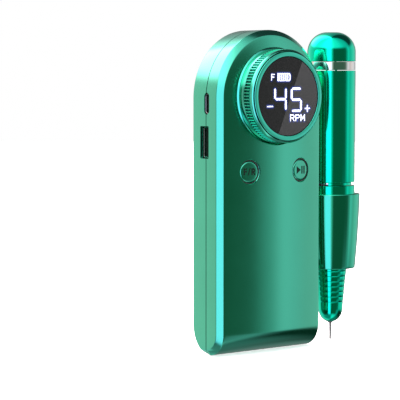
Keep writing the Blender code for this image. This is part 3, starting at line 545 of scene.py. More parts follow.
def case_solid(name, wall, fine, keep=0):
    """The case's whole solid or its hollow; keep is -1 for the part before the parting line and +1 behind it."""
    bm = bmesh.new()
    arc_steps = 110 if fine else 24
    if fine:
        heights = [0.0, 0.12, 0.3, 0.55, 0.85, 1.2, 1.6, 2.0, RIM_INSET, 2.6, 3.0, 3.5, 4.0, 4.6, 5.2, 5.9, 6.6,
                   7.3, 8.0, 8.7, 9.3, FRONT_BEND[1], 10.6, 11.5, BACK_BEND[1], 13.0, 30.0, 60.0, 90.0, ARC_Z]
    else:
        heights = [wall, wall + 1.2, wall + RIM_INSET, 5.2, 7.0, FRONT_BEND[1], 10.6, BACK_BEND[1], ARC_Z]
    rings = []
    for height in heights:
        half = case_section(height, wall, fine)
        loop = [bm.verts.new((x, y, height)) for x, y in half]
        loop += [bm.verts.new((-x, y, height)) for x, y in half[-2:0:-1]]
        rings.append(loop)
    bm.faces.new(rings[0])
    bridge(bm, rings)
    top = case_section(ARC_Z, wall, fine)
    size = len(top)
    right = rings[-1][:size]
    left = [rings[-1][0]] + rings[-1][:size - 2:-1]
    strips = [right]
    for step in range(1, arc_steps):
        angle = math.pi * step / arc_steps
        strip = [right[0]]
        strip += [bm.verts.new((x * math.cos(angle), y, ARC_Z + x * math.sin(angle))) for x, y in top[1:-1]]
        strips.append([*strip, right[-1]])
    strips.append(left)
    for first, second in zip(strips, strips[1:]):
        for i in range(size - 1):
            corners = [first[i], first[i + 1], second[i + 1], second[i]]
            bm.faces.new(list(dict.fromkeys(corners)))
    if keep:
        bmesh.ops.recalc_face_normals(bm, faces=bm.faces)
        plane_y = PARTING_Y + keep * PARTING_GAP / 2
        seam = bmesh.ops.bisect_plane(bm, geom=[*bm.verts, *bm.edges, *bm.faces], dist=0.0001,
                                      plane_co=(0, plane_y, 0), plane_no=(0, keep, 0),
                                      clear_inner=True)["geom_cut"]
        bmesh.ops.contextual_create(bm, geom=[item for item in seam if isinstance(item, bmesh.types.BMEdge)])
    return emit(bm, name, None, None)


def cutter_turned(name, profile, steps, axis, places):
    bm = bmesh.new()
    for at in places:
        add_turned(bm, profile, steps, axis, at)
    return emit(bm, name, None, None)


def cutter_prism(name, outline, low, high, axis):
    bm = bmesh.new()
    add_prism(bm, outline, low, high, axis)
    return emit(bm, name, None, None)


def show(made, name, mat, guide, node_name):
    """Turn a cut body into a visible piece of the controller's casing."""
    follow(made, guide)
    made.name = name
    made.hide_render = False
    made.data.materials.clear()
    made.data.materials.append(mat)
    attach(made, "controller")
    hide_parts(node_name)


def clean_cuts(made):
    """Merge the near-double points that a chain of cuts leaves."""
    bm = bmesh.new()
    bm.from_mesh(made.data)
    bmesh.ops.remove_doubles(bm, verts=bm.verts, dist=0.003 * MM)
    bmesh.ops.dissolve_degenerate(bm, edges=bm.edges, dist=0.003 * MM)
    bm.to_mesh(made.data)
    bm.free()


def build_case():
    guide = case_solid("case_guide", 0.0, True)
    cavity = case_solid("case_hollow", WALL, False)
    slot = rounded_rectangle((CHARGE_Y, CHARGE_Z), 1.7, 4.65, 1.69)
    charge = cutter_prism("charge_cut", slot, -40, -25, "X")
    slot = rounded_rectangle((OUTLET_Y, OUTLET_Z), 2.85, 6.95, 0.5)
    outlet = cutter_prism("outlet_cut", slot, -40, -25, "X")
    seat = TRIM_RADIUS + 0.12
    profile = [(0, -12), (seat, -12), (seat, -3.0), (19.3, -3.0), (19.3, 2), (0, 2)]
    opening = cutter_turned("dial_opening_cut", profile, 144, "Y", [(0, 0, DIAL_Z)])
    face = face_y(BUTTON_X, BUTTON_Z)
    wide = BUTTON_RADIUS + 0.75
    narrow = BUTTON_RADIUS + 0.35
    profile = [(0, -12), (wide, -12), (wide, face - 0.2), (narrow, face + 0.35), (narrow, 0), (0, 0)]
    places = [(side * BUTTON_X, 0, BUTTON_Z) for side in (-1, 1)]
    holes = cutter_turned("button_holes", profile, 72, "Y", places)
    front = case_solid("front_body", 0.0, True, keep=-1)
    cut(front, [cavity, charge, outlet, opening, holes])
    clean_cuts(front)
    show(front, "case_front", CASE, guide, "front_shell")
    rear = case_solid("rear_body", 0.0, True, keep=1)
    places = [(side * x, 0, z) for x, z in SCREW_PLACES for side in (-1, 1)]
    profile = [(0, 12), (2.2, 12), (2.2, BACK_Y - 0.25), (2.5, BACK_Y + 0.1), (2.5, 20), (0, 20)]
    bores = cutter_turned("screw_bores", profile, 48, "Y", places)
    cut(rear, [cavity, charge, outlet, bores])
    clean_cuts(rear)
    show(rear, "case_back", CASE, guide, "rear_shell")
    drop(guide, cavity, charge, outlet, opening, holes, bores)


# ---------------------------------------------------------------- dial and display

DIAL_TEETH = 92
TOOTH_DEPTH = 0.62
# How far a tooth's corners lean, as a share of a step
TOOTH_LEAN = 0.18


def build_dial():
    outline = [(19.6, -3.3), (19.6, -4.2), (19.9, -4.4), (TRIM_RADIUS - 0.95, -4.42),
               (TRIM_RADIUS - 0.85, -4.62), (TRIM_RADIUS - 0.62, -4.62), (TRIM_RADIUS, -4.0), (TRIM_RADIUS, -3.3)]
    turned("dial_trim", DIAL, "controller", outline, 180, "Y", (0, 0, DIAL_Z), round_to=0.06,
           replaced=["dial_trim_ring"], slot="dial_green")
    steps = DIAL_TEETH * 4
    # (radius, depth, share of the tooth cut)
    rows = [(18.0, -0.3, 0), (18.9, -0.3, 0), (18.9, -4.8, 0), (20.35, -4.8, 0), (20.55, -4.95, 0),
            (20.32, -7.35, 0), (20.24, -7.5, 0), (20.2, -7.6, 1), (20.2, -10.85, 1), (20.16, -10.95, 0),
            (19.9, -11.05, 0), (19.86, -11.25, 0), (20.05, -11.4, 0), (20.12, -11.55, 0), (20.12, -12.22, 0),
            (20.08, -12.32, 0), (19.62, -12.8, 0), (19.52, -12.88, 0), (19.45, -12.84, 0), (19.42, -12.6, 0),
            (19.42, -9.0, 0), (18.0, -9.0, 0)]
    bm = bmesh.new()
    rings = []
    for radius, depth, share in rows:
        ring = []
        for step in range(steps):
            angle = 2 * math.pi * (step + (TOOTH_LEAN if step % 4 in (0, 2) else -TOOTH_LEAN)) / steps
            reach = radius - TOOTH_DEPTH * share * (step % 4 in (2, 3))
            ring.append(bm.verts.new((reach * math.sin(angle), depth, DIAL_Z + reach * math.cos(angle))))
        rings.append(ring)
    bridge(bm, rings, closed=True)
    knob = emit(bm, "dial_knob", KNURL, "dial", replaced=["speed_dial"], slot="dial_green", angle=24)
    # The points on the slots' floors carry the painted shade
    shade_values = knob.data.attributes.new("painted_slot_shade", "FLOAT", "POINT")
    centre = ORIGIN + Vector((0, 0, DIAL_Z)) * MM
    for index, vert in enumerate(knob.data.vertices):
        depth = (vert.co.y - ORIGIN.y) / MM
        reach = math.hypot(vert.co.x - centre.x, vert.co.z - centre.z) / MM
        if -10.9 < depth < -7.55 and 19.0 < reach < 20.0:
            shade_values.data[index].value = 1.0
    outline = [(17.1, -12.2), (17.1, BEZEL_FRONT_Y + 0.12), (17.22, BEZEL_FRONT_Y),
               (BEZEL_OUTER - 0.15, BEZEL_FRONT_Y), (BEZEL_OUTER, BEZEL_FRONT_Y + 0.15), (BEZEL_OUTER, -12.2)]
    turned("bezel_ring", DIAL, "controller", outline, 180, "Y", (0, 0, DIAL_Z), round_to=0.08,
           replaced=["display_bezel"], slot="case_green")


# Seven-segment marks: corners of a digit cell run 0..1 across and up
SEGMENTS = {"a": ((0, 1), (1, 1)), "b": ((1, 1), (1, 0.5)), "c": ((1, 0.5), (1, 0)), "d": ((0, 0), (1, 0)),
            "e": ((0, 0.5), (0, 0)), "f": ((0, 1), (0, 0.5)), "g": ((0, 0.5), (1, 0.5))}


def segment(start, end, width, gap):
    """Six-sided bar with pointed ends between two cell corners."""
    a, b = Vector(start), Vector(end)
    along = (b - a).normalized()
    across = Vector((-along.y, along.x)) * width / 2
    a += along * gap
    b -= along * gap
    point = along * width / 2
    return [a, a + point + across, b - point + across, b, b - point - across, a + point - across]


def display_marks():
    """Outlines of everything lit on the display, in millimetres from its centre."""
    marks = []
    width = 0.88
    for cell, lit in (((-8.15, -6.45, 6.95, 10.4), "fgbc"), ((1.25, -6.75, 6.25, 10.4), "afgcd")):
        left, bottom, across, up = cell
        for key in lit:
            ends = [(left + width / 2 + (across - width) * u, bottom + width / 2 + (up - width) * v)
                    for u, v in SEGMENTS[key]]
            marks.append(segment(*ends, width, 0.2))
    # Minus, and the two bars of the plus
    marks += [rectangle(-12.0, -4.55, -8.9, -4.1), rectangle(9.3, -5.55, 12.2, -5.15),
              rectangle(10.52, -6.8, 10.98, -3.9)]
    # Battery: five cells in a frame with a pointed end
    frame_half = ((-6.3, 6.5), (0.1, 6.5), (0.1, 6.95), (-5.85, 6.95), (-5.85, 9.4), (0.1, 9.4), (0.1, 9.85),
                  (-6.3, 9.85))
    end_half = ((0.1, 6.5), (0.55, 6.6), (1.05, 7.5), (1.05, 8.85), (0.55, 9.75), (0.1, 9.85), (0.1, 9.4),
                (0.3, 9.3), (0.6, 8.7), (0.6, 7.65), (0.3, 7.05), (0.1, 6.95))
    marks += [[Vector(p) for p in outline] for outline in (frame_half, end_half)]
    for bar in range(5):
        left = -5.62 + bar * 1.16
        marks.append(rectangle(left, 7.15, left + 0.62, 9.2))
    return marks


# Centrelines of the small letters' strokes, in a cell that runs 0..1 across and up
LETTERS = {"F": [[(0, 0), (0, 1), (1, 1)], [(0, 0.52), (0.85, 0.52)]],
           "R": [[(0, 0), (0, 1), (0.7, 1), (1, 0.86), (1, 0.64), (0.7, 0.5), (0, 0.5)], [(0.5, 0.5), (1, 0)]],
           "P": [[(0, 0), (0, 1), (0.7, 1), (1, 0.86), (1, 0.62), (0.7, 0.47), (0, 0.47)]],
           "M": [[(0, 0), (0, 1)], [(0, 1), (0.5, 0.3), (1, 1)], [(1, 1), (1, 0)]],
           "/": [[(0, 0), (1, 1)]]}


def add_stroke(bm, points, width, lift):
    """Flat mitred ribbon along a polyline; lift turns a point in the plane into a place."""
    half = width / 2
    pts = [Vector(p) for p in points]
    sides = []
    for i, here in enumerate(pts):
        before = (here - pts[i - 1]).normalized() if i else (pts[1] - here).normalized()
        after = (pts[i + 1] - here).normalized() if i < len(pts) - 1 else before
        mitre = (before + after).normalized()
        normal = Vector((-mitre.y, mitre.x))
        reach = half / max(normal.dot(Vector((-before.y, before.x))), 0.5)
        end = before * half * (0 if 0 < i < len(pts) - 1 else (1 if i else -1))
        sides.append((here + end + normal * reach, here + end - normal * reach))
    for (a, b), (c, d) in zip(sides, sides[1:]):
        slab(bm, [a, c, d, b], lift)


def slab(bm, outline, lift):
    """Thin closed plate over an outline."""
    front = [bm.verts.new(lift(p, 0)) for p in outline]
    back = [bm.verts.new(lift(p, 1)) for p in outline]
    bm.faces.new(front)
    bm.faces.new(back[::-1])
    for i in range(len(outline)):
        j = (i + 1) % len(outline)
        bm.faces.new((front[j], front[i], back[i], back[j]))


def letters(bm, text, left, bottom, width, height, gap, stroke, lift):
    for glyph in text:
        for line in LETTERS[glyph]:
            add_stroke(bm, [(left + stroke / 2 + u * (width - stroke), bottom + stroke / 2 + v * (height - stroke))
                            for u, v in line], stroke, lift)
        left += width + gap


LENS_RINGS = 84
LENS_SIDES = 200
# Strength of the glow beside a mark, and how far it reaches in mm
GLOW = 0.7
GLOW_REACH = 0.36


def build_display():
    def lift(point, back):
        return (point[0] + MARK_SHIFT[0], LENS_FRONT_Y - 0.03 + 0.02 * back, DIAL_Z + MARK_SHIFT[1] + point[1])

    marks = display_marks()
    bm = bmesh.new()
    for outline in marks:
        slab(bm, outline, lift)
    letters(bm, "F", -9.9, 6.75, 1.9, 2.7, 0, 0.34, lift)
    letters(bm, "RPM", 0.9, -10.75, 2.4, 2.85, 0.6, 0.34, lift)
    emit(bm, "display_light", LIT, "controller", slot="lens_glass")
    # The lens is a fine disc, so that its glow can fade round the marks
    edges = [(Vector((-9.7, 6.8)), Vector((-9.7, 9.4))), (Vector((-9.7, 9.3)), Vector((-8.1, 9.3))),
             (Vector((-9.7, 8.1)), Vector((-8.4, 8.1)))]
    for outline in marks:
        edges += list(zip(outline, outline[1:] + outline[:1]))
    for step in range(5):
        x = 0.9 + 8.1 * step / 4
        edges.append((Vector((x, -10.75)), Vector((x, -7.9))))
    bm = bmesh.new()
    middle = bm.verts.new((0, LENS_FRONT_Y, DIAL_Z))
    rows = [((LENS_RADIUS - 0.12) * ring / LENS_RINGS, LENS_FRONT_Y) for ring in range(1, LENS_RINGS + 1)]
    rows += [(LENS_RADIUS - 0.04, LENS_FRONT_Y + 0.03), (LENS_RADIUS, LENS_FRONT_Y + 0.14), (LENS_RADIUS, -12.25)]
    fill_disc(bm, middle, [[bm.verts.new((x, depth, z)) for x, z in circle((0, DIAL_Z), reach, LENS_SIDES)]
                           for reach, depth in rows])
    lens = emit(bm, "display_glass", LENS, "controller", replaced=["display_lens"], slot="lens_glass")
    glow = lens.data.attributes.new("glow", "FLOAT", "POINT")
    centre = ORIGIN + Vector((MARK_SHIFT[0], 0, DIAL_Z + MARK_SHIFT[1])) * MM
    for index, vert in enumerate(lens.data.vertices):
        spot = Vector((vert.co.x - centre.x, vert.co.z - centre.z)) / MM
        if spot.length > 15:
            continue
        nearest = min(segment_distance(spot, a, b) for a, b in edges)
        glow.data[index].value = GLOW * math.exp(-(nearest / GLOW_REACH) ** 1.5)


def segment_distance(spot, a, b):
    span = b - a
    t = max(0.0, min(1.0, (spot - a).dot(span) / span.length_squared))
    return (spot - a - span * t).length


# ---------------------------------------------------------------- buttons

BUTTON_SIDES = 72
# (radius, depth below the domed face) of a key's rounded front
KEY_FRONT = ((0.9, 0), (1.8, 0), (2.7, 0), (3.6, 0), (3.95, 0.02), (4.2, 0.1), (4.42, 0.25), (4.6, 0.43), (4.7, 0.62))
# (radius, depth) of its flange and stem
KEY_BACK = ((4.7, -1.6), (5.6, -1.6), (5.6, -0.9), (1.4, -0.9), (1.4, -0.4))


def build_buttons():
    for side, body, node_name in ((-1, "fr_key", "fr_button"), (1, "play_key", "play_button")):
        centre = (side * BUTTON_X, BUTTON_Z)

        def domed(bm, reach, sink):
            return [bm.verts.new((x, face_y(x, z) + sink, z)) for x, z in circle(centre, reach, BUTTON_SIDES)]

        def lift(point, back):
            x, z = centre[0] + point[0], centre[1] + point[1]
            return (x, face_y(x, z) - 0.035 + 0.06 * back, z)

        bm = bmesh.new()
        middle = bm.verts.new((centre[0], face_y(*centre), centre[1]))
        rings = [domed(bm, reach, sink) for reach, sink in KEY_FRONT]
        rings += [[bm.verts.new((x, depth, z)) for x, z in circle(centre, reach, BUTTON_SIDES)]
                  for reach, depth in KEY_BACK]
        fill_disc(bm, middle, rings)
        emit(bm, f"{body}_cap", CASE, body, replaced=[node_name], slot="case_green", angle=35)
        bm = bmesh.new()
        if side < 0:
            letters(bm, "F", -3.0, -1.4, 1.7, 3.0, 0, 0.68, lift)
            letters(bm, "/", -0.85, -1.5, 1.35, 3.3, 0, 0.5, lift)
            letters(bm, "R", 1.0, -1.4, 1.9, 3.0, 0, 0.66, lift)
        else:
            slab(bm, [Vector(p) for p in ((-2.45, -1.7), (0.15, 0), (-2.45, 1.7))], lift)
            for left in (0.6, 1.95):
                slab(bm, rectangle(left, -1.7, left + 0.75, 1.7), lift)
        emit(bm, f"{body}_mark", INK_AND_SHADE, body, slot="case_green")
        bm = bmesh.new()
        rows = ((0.05, 0.3), (0.33, 0.3), (0.33, 0.6), (0.05, 0.6))
        bridge(bm, [domed(bm, BUTTON_RADIUS + out, sink) for out, sink in rows], closed=True)
        emit(bm, f"{body}_gap_ring", BLACK, "controller", slot="black_plastic")


# ---------------------------------------------------------------- sockets and screws

def build_socket(name, centre, half, mouth_x, end_x, wall, corner, tongue, contacts):
    bm = bmesh.new()
    outer = rounded_rectangle(centre, *half, corner)
    inner = rounded_rectangle(centre, half[0] - wall, half[1] - wall, max(corner - wall, 0.1))
    lip = rounded_rectangle(centre, half[0] - wall * 0.5, half[1] - wall * 0.5, max(corner - wall / 2, 0.1))
    rows = [(outer, end_x), (outer, mouth_x + 0.12), (lip, mouth_x), (inner, mouth_x + 0.12), (inner, end_x - 1)]
    rings = [[bm.verts.new((x, y, z)) for y, z in loop] for loop, x in rows]
    bridge(bm, rings)
    bm.faces.new(rings[0])
    bm.faces.new(rings[-1])
    emit(bm, f"{name}_shell_detail", SOCKET, "controller", replaced=[f"{name}_shell"], slot="socket_steel")
    bm = bmesh.new()
    low, high = tongue
    add_box(bm, (mouth_x + 0.85, *low), (end_x - 1.3, *high), 0.12)
    emit(bm, f"{name}_tongue_detail", BLACK, "controller", replaced=[f"{name}_tongue"], slot="black_plastic")
    bm = bmesh.new()
    # A near-black block filling the socket just behind its mouth: painted shade of the socket's dark depth
    block = rounded_rectangle(centre, half[0] - wall - 0.03, half[1] - wall - 0.03, max(corner - wall, 0.1))
    add_prism(bm, block, mouth_x + 1.1, end_x - 1.4, "X")
    emit(bm, f"{name}_shade_fill", INK_AND_SHADE, "controller", slot="black_plastic")
    bm = bmesh.new()
    count, side = contacts
    span = high[1] - low[1]
    y = high[0] if side > 0 else low[0]
    for k in range(count):
        z = low[1] + span * (k + 0.5) / count
        reach = span / count * 0.3
        add_box(bm, (mouth_x + 1.3, y - 0.04, z - reach), (mouth_x + 5.0, y + 0.04, z + reach))
    emit(bm, f"{name}_contacts", BRASS, "controller", slot="brass")


def build_sockets():
    build_socket("charge_socket", (CHARGE_Y, CHARGE_Z), (1.4, 4.33), case_low.x + 0.5, -21.5, 0.3, 1.35,
                 ((CHARGE_Y - 0.35, CHARGE_Z - 3.3), (CHARGE_Y + 0.35, CHARGE_Z + 3.3)), (10, -1))
    build_socket("outlet_socket", (OUTLET_Y, OUTLET_Z), (2.55, 6.58), case_low.x + 1.6, -14.5, 0.35, 0.6,
                 ((OUTLET_Y - 1.9, OUTLET_Z - 5.5), (OUTLET_Y - 0.1, OUTLET_Z + 5.5)), (4, 1))


def build_screws():
    number = 0
    for x, z in SCREW_PLACES:
        for side in (-1, 1):
            number += 1
            low, high = inside(f"case_screw_{number}")
            at = ((low.x + high.x) / 2, 0, (low.z + high.z) / 2)
            top = high.y
            profile = [(0, low.y), (0.8, low.y), (0.8, top - 1.05), (1.9, top - 1.05), (1.9, top - 0.2), (1.5, top),
                       (0, top)]
            bm = bmesh.new()
            add_turned(bm, soften(profile, 0.12), 40, "Y", at)
            head = emit(bm, f"screw_{number}", STEEL, "controller", replaced=[f"case_screw_{number}"],
                        slot="steel")
            turn = Matrix.Translation(at) @ Matrix.Rotation(math.radians(20 + 35 * number), 4, "Y")
            arms = []
            for long, short in ((1.15, 0.22), (0.22, 1.15)):
                bm = bmesh.new()
                add_box(bm, (-long, top - 0.45, -short), (long, top + 0.55, short))
                bmesh.ops.transform(bm, matrix=turn, verts=bm.verts)
                arms.append(emit(bm, "recess", None, None))
            cut(head, arms)
            head.data.set_sharp_from_angle(angle=math.radians(28))
            drop(*arms)


# ---------------------------------------------------------------- holder and handpiece

def build_holder():
    axis = (HAND_X, HAND_Y, 0)
    straight, bowed = HOLDER_TAPER
    drops = [(HOLDER_TOP_Z - HOLDER_BOTTOM_Z) * step / 24 for step in range(24, -1, -1)]
    side = [(HOLDER_TOP_R - straight * drop - bowed * drop ** 2, HOLDER_TOP_Z - drop) for drop in drops]
    profile = [(0, HOLDER_BOTTOM_Z), *side, (0, HOLDER_TOP_Z)]
    bm = bmesh.new()
    add_turned(bm, soften(profile, 0.45, steps=5), 160, "Z", axis)
    guide = emit(bm, "holder_guide", None, None)
    sleeve = guide.copy()
    sleeve.data = guide.data.copy()
    bpy.context.collection.objects.link(sleeve)
    bm = bmesh.new()
    foot_x = HALF_WIDTH + 0.3
    add_box(bm, (foot_x, 1.6, 38.0), (foot_x + 3.6, 13.0, 64.5), 0.4)
    foot = emit(bm, "holder_foot", None, None)
    cut(sleeve, [foot], "UNION")
    bore = [(0, 20), (9.4, 20), (9.4, HOLDER_BOTTOM_Z + 0.1), (11.12, 58.0), (11.12, HOLDER_TOP_Z - 0.5),
            (11.6, HOLDER_TOP_Z + 0.02), (11.6, 80), (0, 80)]
    hollow = cutter_turned("holder_bore_cut", bore, 160, "Z", [axis])
    cut(sleeve, [hollow])
    show(sleeve, "holder_sleeve", HOLDER, guide, "holder")
    drop(guide, foot, hollow)


def add_arc_block(bm, axis, radii, heights, bearings, steps=36):
    """Part of a square ring between two bearings, measured from the front and positive to the right."""
    rows = []
    for step in range(steps + 1):
        angle = math.radians(bearings[0] + (bearings[1] - bearings[0]) * step / steps)
        rows.append([bm.verts.new((axis[0] + reach * math.sin(angle), axis[1] - reach * math.cos(angle), height))
                     for reach, height in ((radii[0], heights[0]), (radii[1], heights[0]), (radii[1], heights[1]),
                                           (radii[0], heights[1]))])
    bm.faces.new(rows[0])
    bm.faces.new(rows[-1])
    bridge(bm, rows)


def build_handpiece():
    axis = (HAND_X, HAND_Y, 0)
    cap_low, _ = inside("tail_cap")
    band_low, band_high = inside("tail_band")
    centre_r, centre_z, corner = CAP_CORNER
    end = math.degrees(math.acos((3.2 - centre_r) / corner))
    outside = arc((centre_r, centre_z), corner, 0, end, 30)
    top = outside[-1][1]
    inner = arc((centre_r, centre_z), corner - 1.4, 70, 0, 8)
    profile = [(CAP_R - 0.12, cap_low.z), (CAP_R, cap_low.z + 0.12), *outside, (3.05, top - 0.06),
               (3.0, top - 0.18), (3.0, top - 2.0), *inner, (CAP_R - 1.4, cap_low.z)]
    turned("cap_shell", BARREL, "handpiece", profile, CASING_SIDES, at=axis, round_to=0, replaced=["tail_cap"],
           slot="barrel_green")
    low, high = inside("tail_socket")
    profile = [(0, low.z), (4.2, low.z), (4.2, high.z - 3.2), (2.7, high.z - 2.2), (2.7, high.z), (1.1, high.z),
               (1.1, low.z + 1.0), (0, low.z + 1.0)]
    turned("tail_inlet", BLACK, "handpiece", profile, 64, at=axis, round_to=0.12, replaced=["tail_socket"],
           slot="black_plastic")
    profile = [(9.5, band_low.z), (BARREL_R, band_low.z), (BARREL_R, band_high.z), (9.5, band_high.z)]
    turned("band_ring", CHROME, "handpiece", profile, CASING_SIDES, at=axis, round_to=0.1, replaced=["tail_band"],
           slot="chrome")
    low, high = barrel_low.z, barrel_high.z
    profile = [(9.8, low), (BARREL_R, low), (BARREL_R, 104.0), (BARREL_R + 0.03, 109.0), (CAP_R - 0.03, 115.0),
               (CAP_R, 119.0), (CAP_R, high), (9.8, high)]
    turned("barrel_tube", BARREL, "handpiece", profile, CASING_SIDES, at=axis, round_to=0.18, replaced=["barrel"],
           slot="barrel_green")
    low, high = inside("groove_ring")
    profile = [(7.1, low.z), (9.3, low.z), (9.3, high.z), (7.1, high.z)]
    turned("groove_band", BARREL, "handpiece", profile, CASING_SIDES, at=axis, round_to=0.1, replaced=["groove_ring"],
           slot="barrel_green")
    # On the groove's left side only: a chrome arc, real chrome placed as a painted highlight of the groove's lit
    # edge, and below it a black arc that is painted shade in the groove
    highlight_z = low.z + (high.z - low.z) * 0.52
    for name, mat, slot, bottom, top_z in (("groove_highlight_arc", CHROME, "chrome", highlight_z, high.z - 0.02),
                                           ("groove_shade", BLACK, "black_plastic", low.z + 0.02, highlight_z)):
        bm = bmesh.new()
        add_arc_block(bm, axis, (9.32, 10.1), (bottom, top_z), (-122, -50))
        emit(bm, name, mat, "handpiece", slot=slot)
    low, high = inside("lock_collar")
    profile = [(7.1, low.z), (9.75, low.z), (10.5, 58.2), (BARREL_R, 59.0), (BARREL_R, high.z), (7.1, high.z)]
    turned("collar_shell", BARREL, "collar", profile, CASING_SIDES, at=axis, round_to=0.18, replaced=["lock_collar"],
           slot="barrel_green")
    build_grip(axis)
    build_spring(axis)
    low, high = inside("bit")
    nub = 8.45
    profile = [(0, low.z), (0.12, low.z + 0.03), (0.22, low.z + 0.25), (0.38, low.z + 0.8), (0.52, nub - 0.6),
               (0.66, nub - 0.3), (0.95, nub - 0.12), (1.12, nub + 0.15), (1.15, high.z), (0, high.z)]
    turned("bit_needle", BIT, "tool", profile, 48, at=axis, round_to=0.04, replaced=["bit"], slot="bit_steel")


def build_grip(axis):
    tip_z = inside("grip")[0].z
    # (height, radius) of the grip's outline between its grooves
    waist = [(34.5, 7.46), (31.8, 7.2), (30.0, 7.0), (28.1, 6.75), (26.3, 6.6), (24.5, 6.42), (22.65, 6.28),
             (20.8, 6.12), (19.0, 5.92), (17.15, 5.76), (15.4, 5.65)]

    def taper(z):
        for (high_z, high_r), (low_z, low_r) in zip(waist, waist[1:]):
            if z >= low_z:
                return low_r + (high_r - low_r) * (z - low_z) / (high_z - low_z)
        return waist[-1][1]

    outside = [(9.5, 45.7), (9.1, 43.0), (7.9, 37.6), (waist[0][1], waist[0][0])]
    for rib in range(7):
        z = 32.07 - 2.34 * rib
        for shift, sink in ((0.5, 0.0), (0.34, 0.02), (0.2, 0.07), (0.08, 0.12), (0.0, 0.13), (-0.08, 0.12),
                            (-0.2, 0.07), (-0.34, 0.02), (-0.5, 0.0)):
            outside.append((taper(z + shift) - sink, z + shift))
    end_z, end_r = waist[-1]
    last = 76
    for step in range(25):
        angle = math.radians(last * step / 24)
        drop_z = (end_z - tip_z) * math.sin(angle) / math.sin(math.radians(last))
        outside.append((end_r * math.cos(angle), end_z - drop_z))
    profile = outside + [(1.3, tip_z), (1.3, 12.9), (3.2, 13.2), (3.2, 18.6), (4.55, 18.6), (4.55, 24.0),
                         (5.2, 34.0), (5.9, 36.0), (5.9, 45.7)]
    turned("grip_shell", BARREL, "handpiece", profile, 128, at=axis, round_to=0, replaced=["grip"],
           slot="barrel_green", angle=40)


def build_spring(axis):
    """Chuck spring, which shortens towards its upper seat as the release sleeve rises: drawn here as one evenly wound
    coil with a mesh of its own.
    """
    low, high = inside("chuck_spring")
    turns, steps, sides, wire = 5, 20, 10, 0.4
    reach = high.x - HAND_X - wire
    rise = high.z - low.z - 2 * wire
    bm = bmesh.new()
    rings = []
    for step in range(turns * steps + 1):
        angle = 2 * math.pi * step / steps
        height = low.z + wire + rise * step / (turns * steps)
        ring = []
        for side in range(sides):
            around = 2 * math.pi * side / sides
            out = reach + wire * math.cos(around)
            ring.append(bm.verts.new((axis[0] + out * math.cos(angle), axis[1] + out * math.sin(angle),
                                      height + wire * math.sin(around))))
        rings.append(ring)
    bridge(bm, rings)
    bm.faces.new(rings[0])
    bm.faces.new(rings[-1])
    coil = emit(bm, "spring_coil", STEEL, "handpiece", replaced=["chuck_spring"], slot="steel")
    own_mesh(coil)


# ---------------------------------------------------------------- CAD nodes kept inside the casing, painted

KEPT = {
    BLACK: ("display_hub", "display_module", "fr_switch", "play_switch", "core_tube"),
    WHITE: ("fr_switch_plunger", "play_switch_plunger", "motor_end_cap"),
    BOARD: ("main_board", "protection_board"),
    WRAP: ("battery_cell",),
    RED: ("battery_lead_red", "motor_lead_red"),
    DARK: ("battery_lead_black", "motor_lead_black"),
    STEEL: ("holder_screw_1", "holder_screw_2", "dial_retainer", "rear_bearing_outer", "front_bearing_outer",
            "rear_bearing_inner", "front_bearing_inner", "motor_can", "release_sleeve", "spindle", "collet",
            "motor_shaft"),
    BRASS: ("rear_bearing_cage", "front_bearing_cage", "lower_coupling", "upper_coupling"),
    MAGNET: ("dial_magnet_ring", "motor_magnet"),
    COPPER: ("motor_armature",),
}


def paint_kept():
    for mat, names in KEPT.items():
        for name in names:
            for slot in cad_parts[name].material_slots:
                slot.material = mat


# ---------------------------------------------------------------- light, floor and camera

def ramp_stops(tree, stops, bearing):
    """Colours by bearing; a bearing of -180 to 180 degrees is the ramp's 0 to 1."""
    made = node(tree, "ShaderNodeValToRGB")
    ramp = made.color_ramp
    ramp.interpolation = "EASE"
    while len(ramp.elements) > 1:
        ramp.elements.remove(ramp.elements[-1])
    for index, (degrees, level) in enumerate(stops):
        spot = (degrees + 180) / 360
        if index == 0:
            ramp.elements[0].position = spot
            element = ramp.elements[0]
        else:
            element = ramp.elements.new(spot)
        colour = level if isinstance(level, tuple) else (level, level, level)
        element.color = (*(c / STUDIO_STRENGTH for c in colour), 1)
    tree.links.new(bearing, made.inputs["Fac"])
    return made.outputs["Color"]


def build_world():
    """Studio surroundings: tall soft boxes at set bearings, a soft sky and a pale ground, white behind the object."""
    world = bpy.data.worlds.new("studio")
    bpy.context.scene.world = world
    world.use_nodes = True
    tree = world.node_tree
    tree.nodes.clear()
    where = node(tree, "ShaderNodeTexCoord")
    split = node(tree, "ShaderNodeSeparateXYZ")
    tree.links.new(where.outputs["Generated"], split.inputs[0])
    ahead = calculate(tree, "MULTIPLY", split.outputs["Y"], -1)
    bearing = map_range(tree, calculate(tree, "ARCTAN2", split.outputs["X"], ahead), -math.pi, math.pi)
    colour = ramp_stops(tree, LEVEL_STOPS, bearing)
    for stops, start, end in LAYERS:
        share = map_range(tree, split.outputs["Z"], start, end, smooth=True)
        colour = mix_colours(tree, share, colour, ramp_stops(tree, stops, bearing))
    studio = node(tree, "ShaderNodeBackground", Strength=STUDIO_STRENGTH)
    tree.links.new(colour, studio.inputs["Color"])
    plain = node(tree, "ShaderNodeBackground", Color=(1, 1, 1, 1), Strength=1.0)
    seen = node(tree, "ShaderNodeLightPath")
    mix = node(tree, "ShaderNodeMixShader")
    tree.links.new(seen.outputs["Is Camera Ray"], mix.inputs[0])
    tree.links.new(studio.outputs[0], mix.inputs[1])
    tree.links.new(plain.outputs[0], mix.inputs[2])
    out = node(tree, "ShaderNodeOutputWorld")
    tree.links.new(mix.outputs[0], out.inputs["Surface"])


STUDIO_STRENGTH = 8.0
DIM = (0.044, 0.112, 0.070)
BLACKISH = (0.012, 0.03, 0.02)
STRIP = (1.35, 1.42, 1.95)
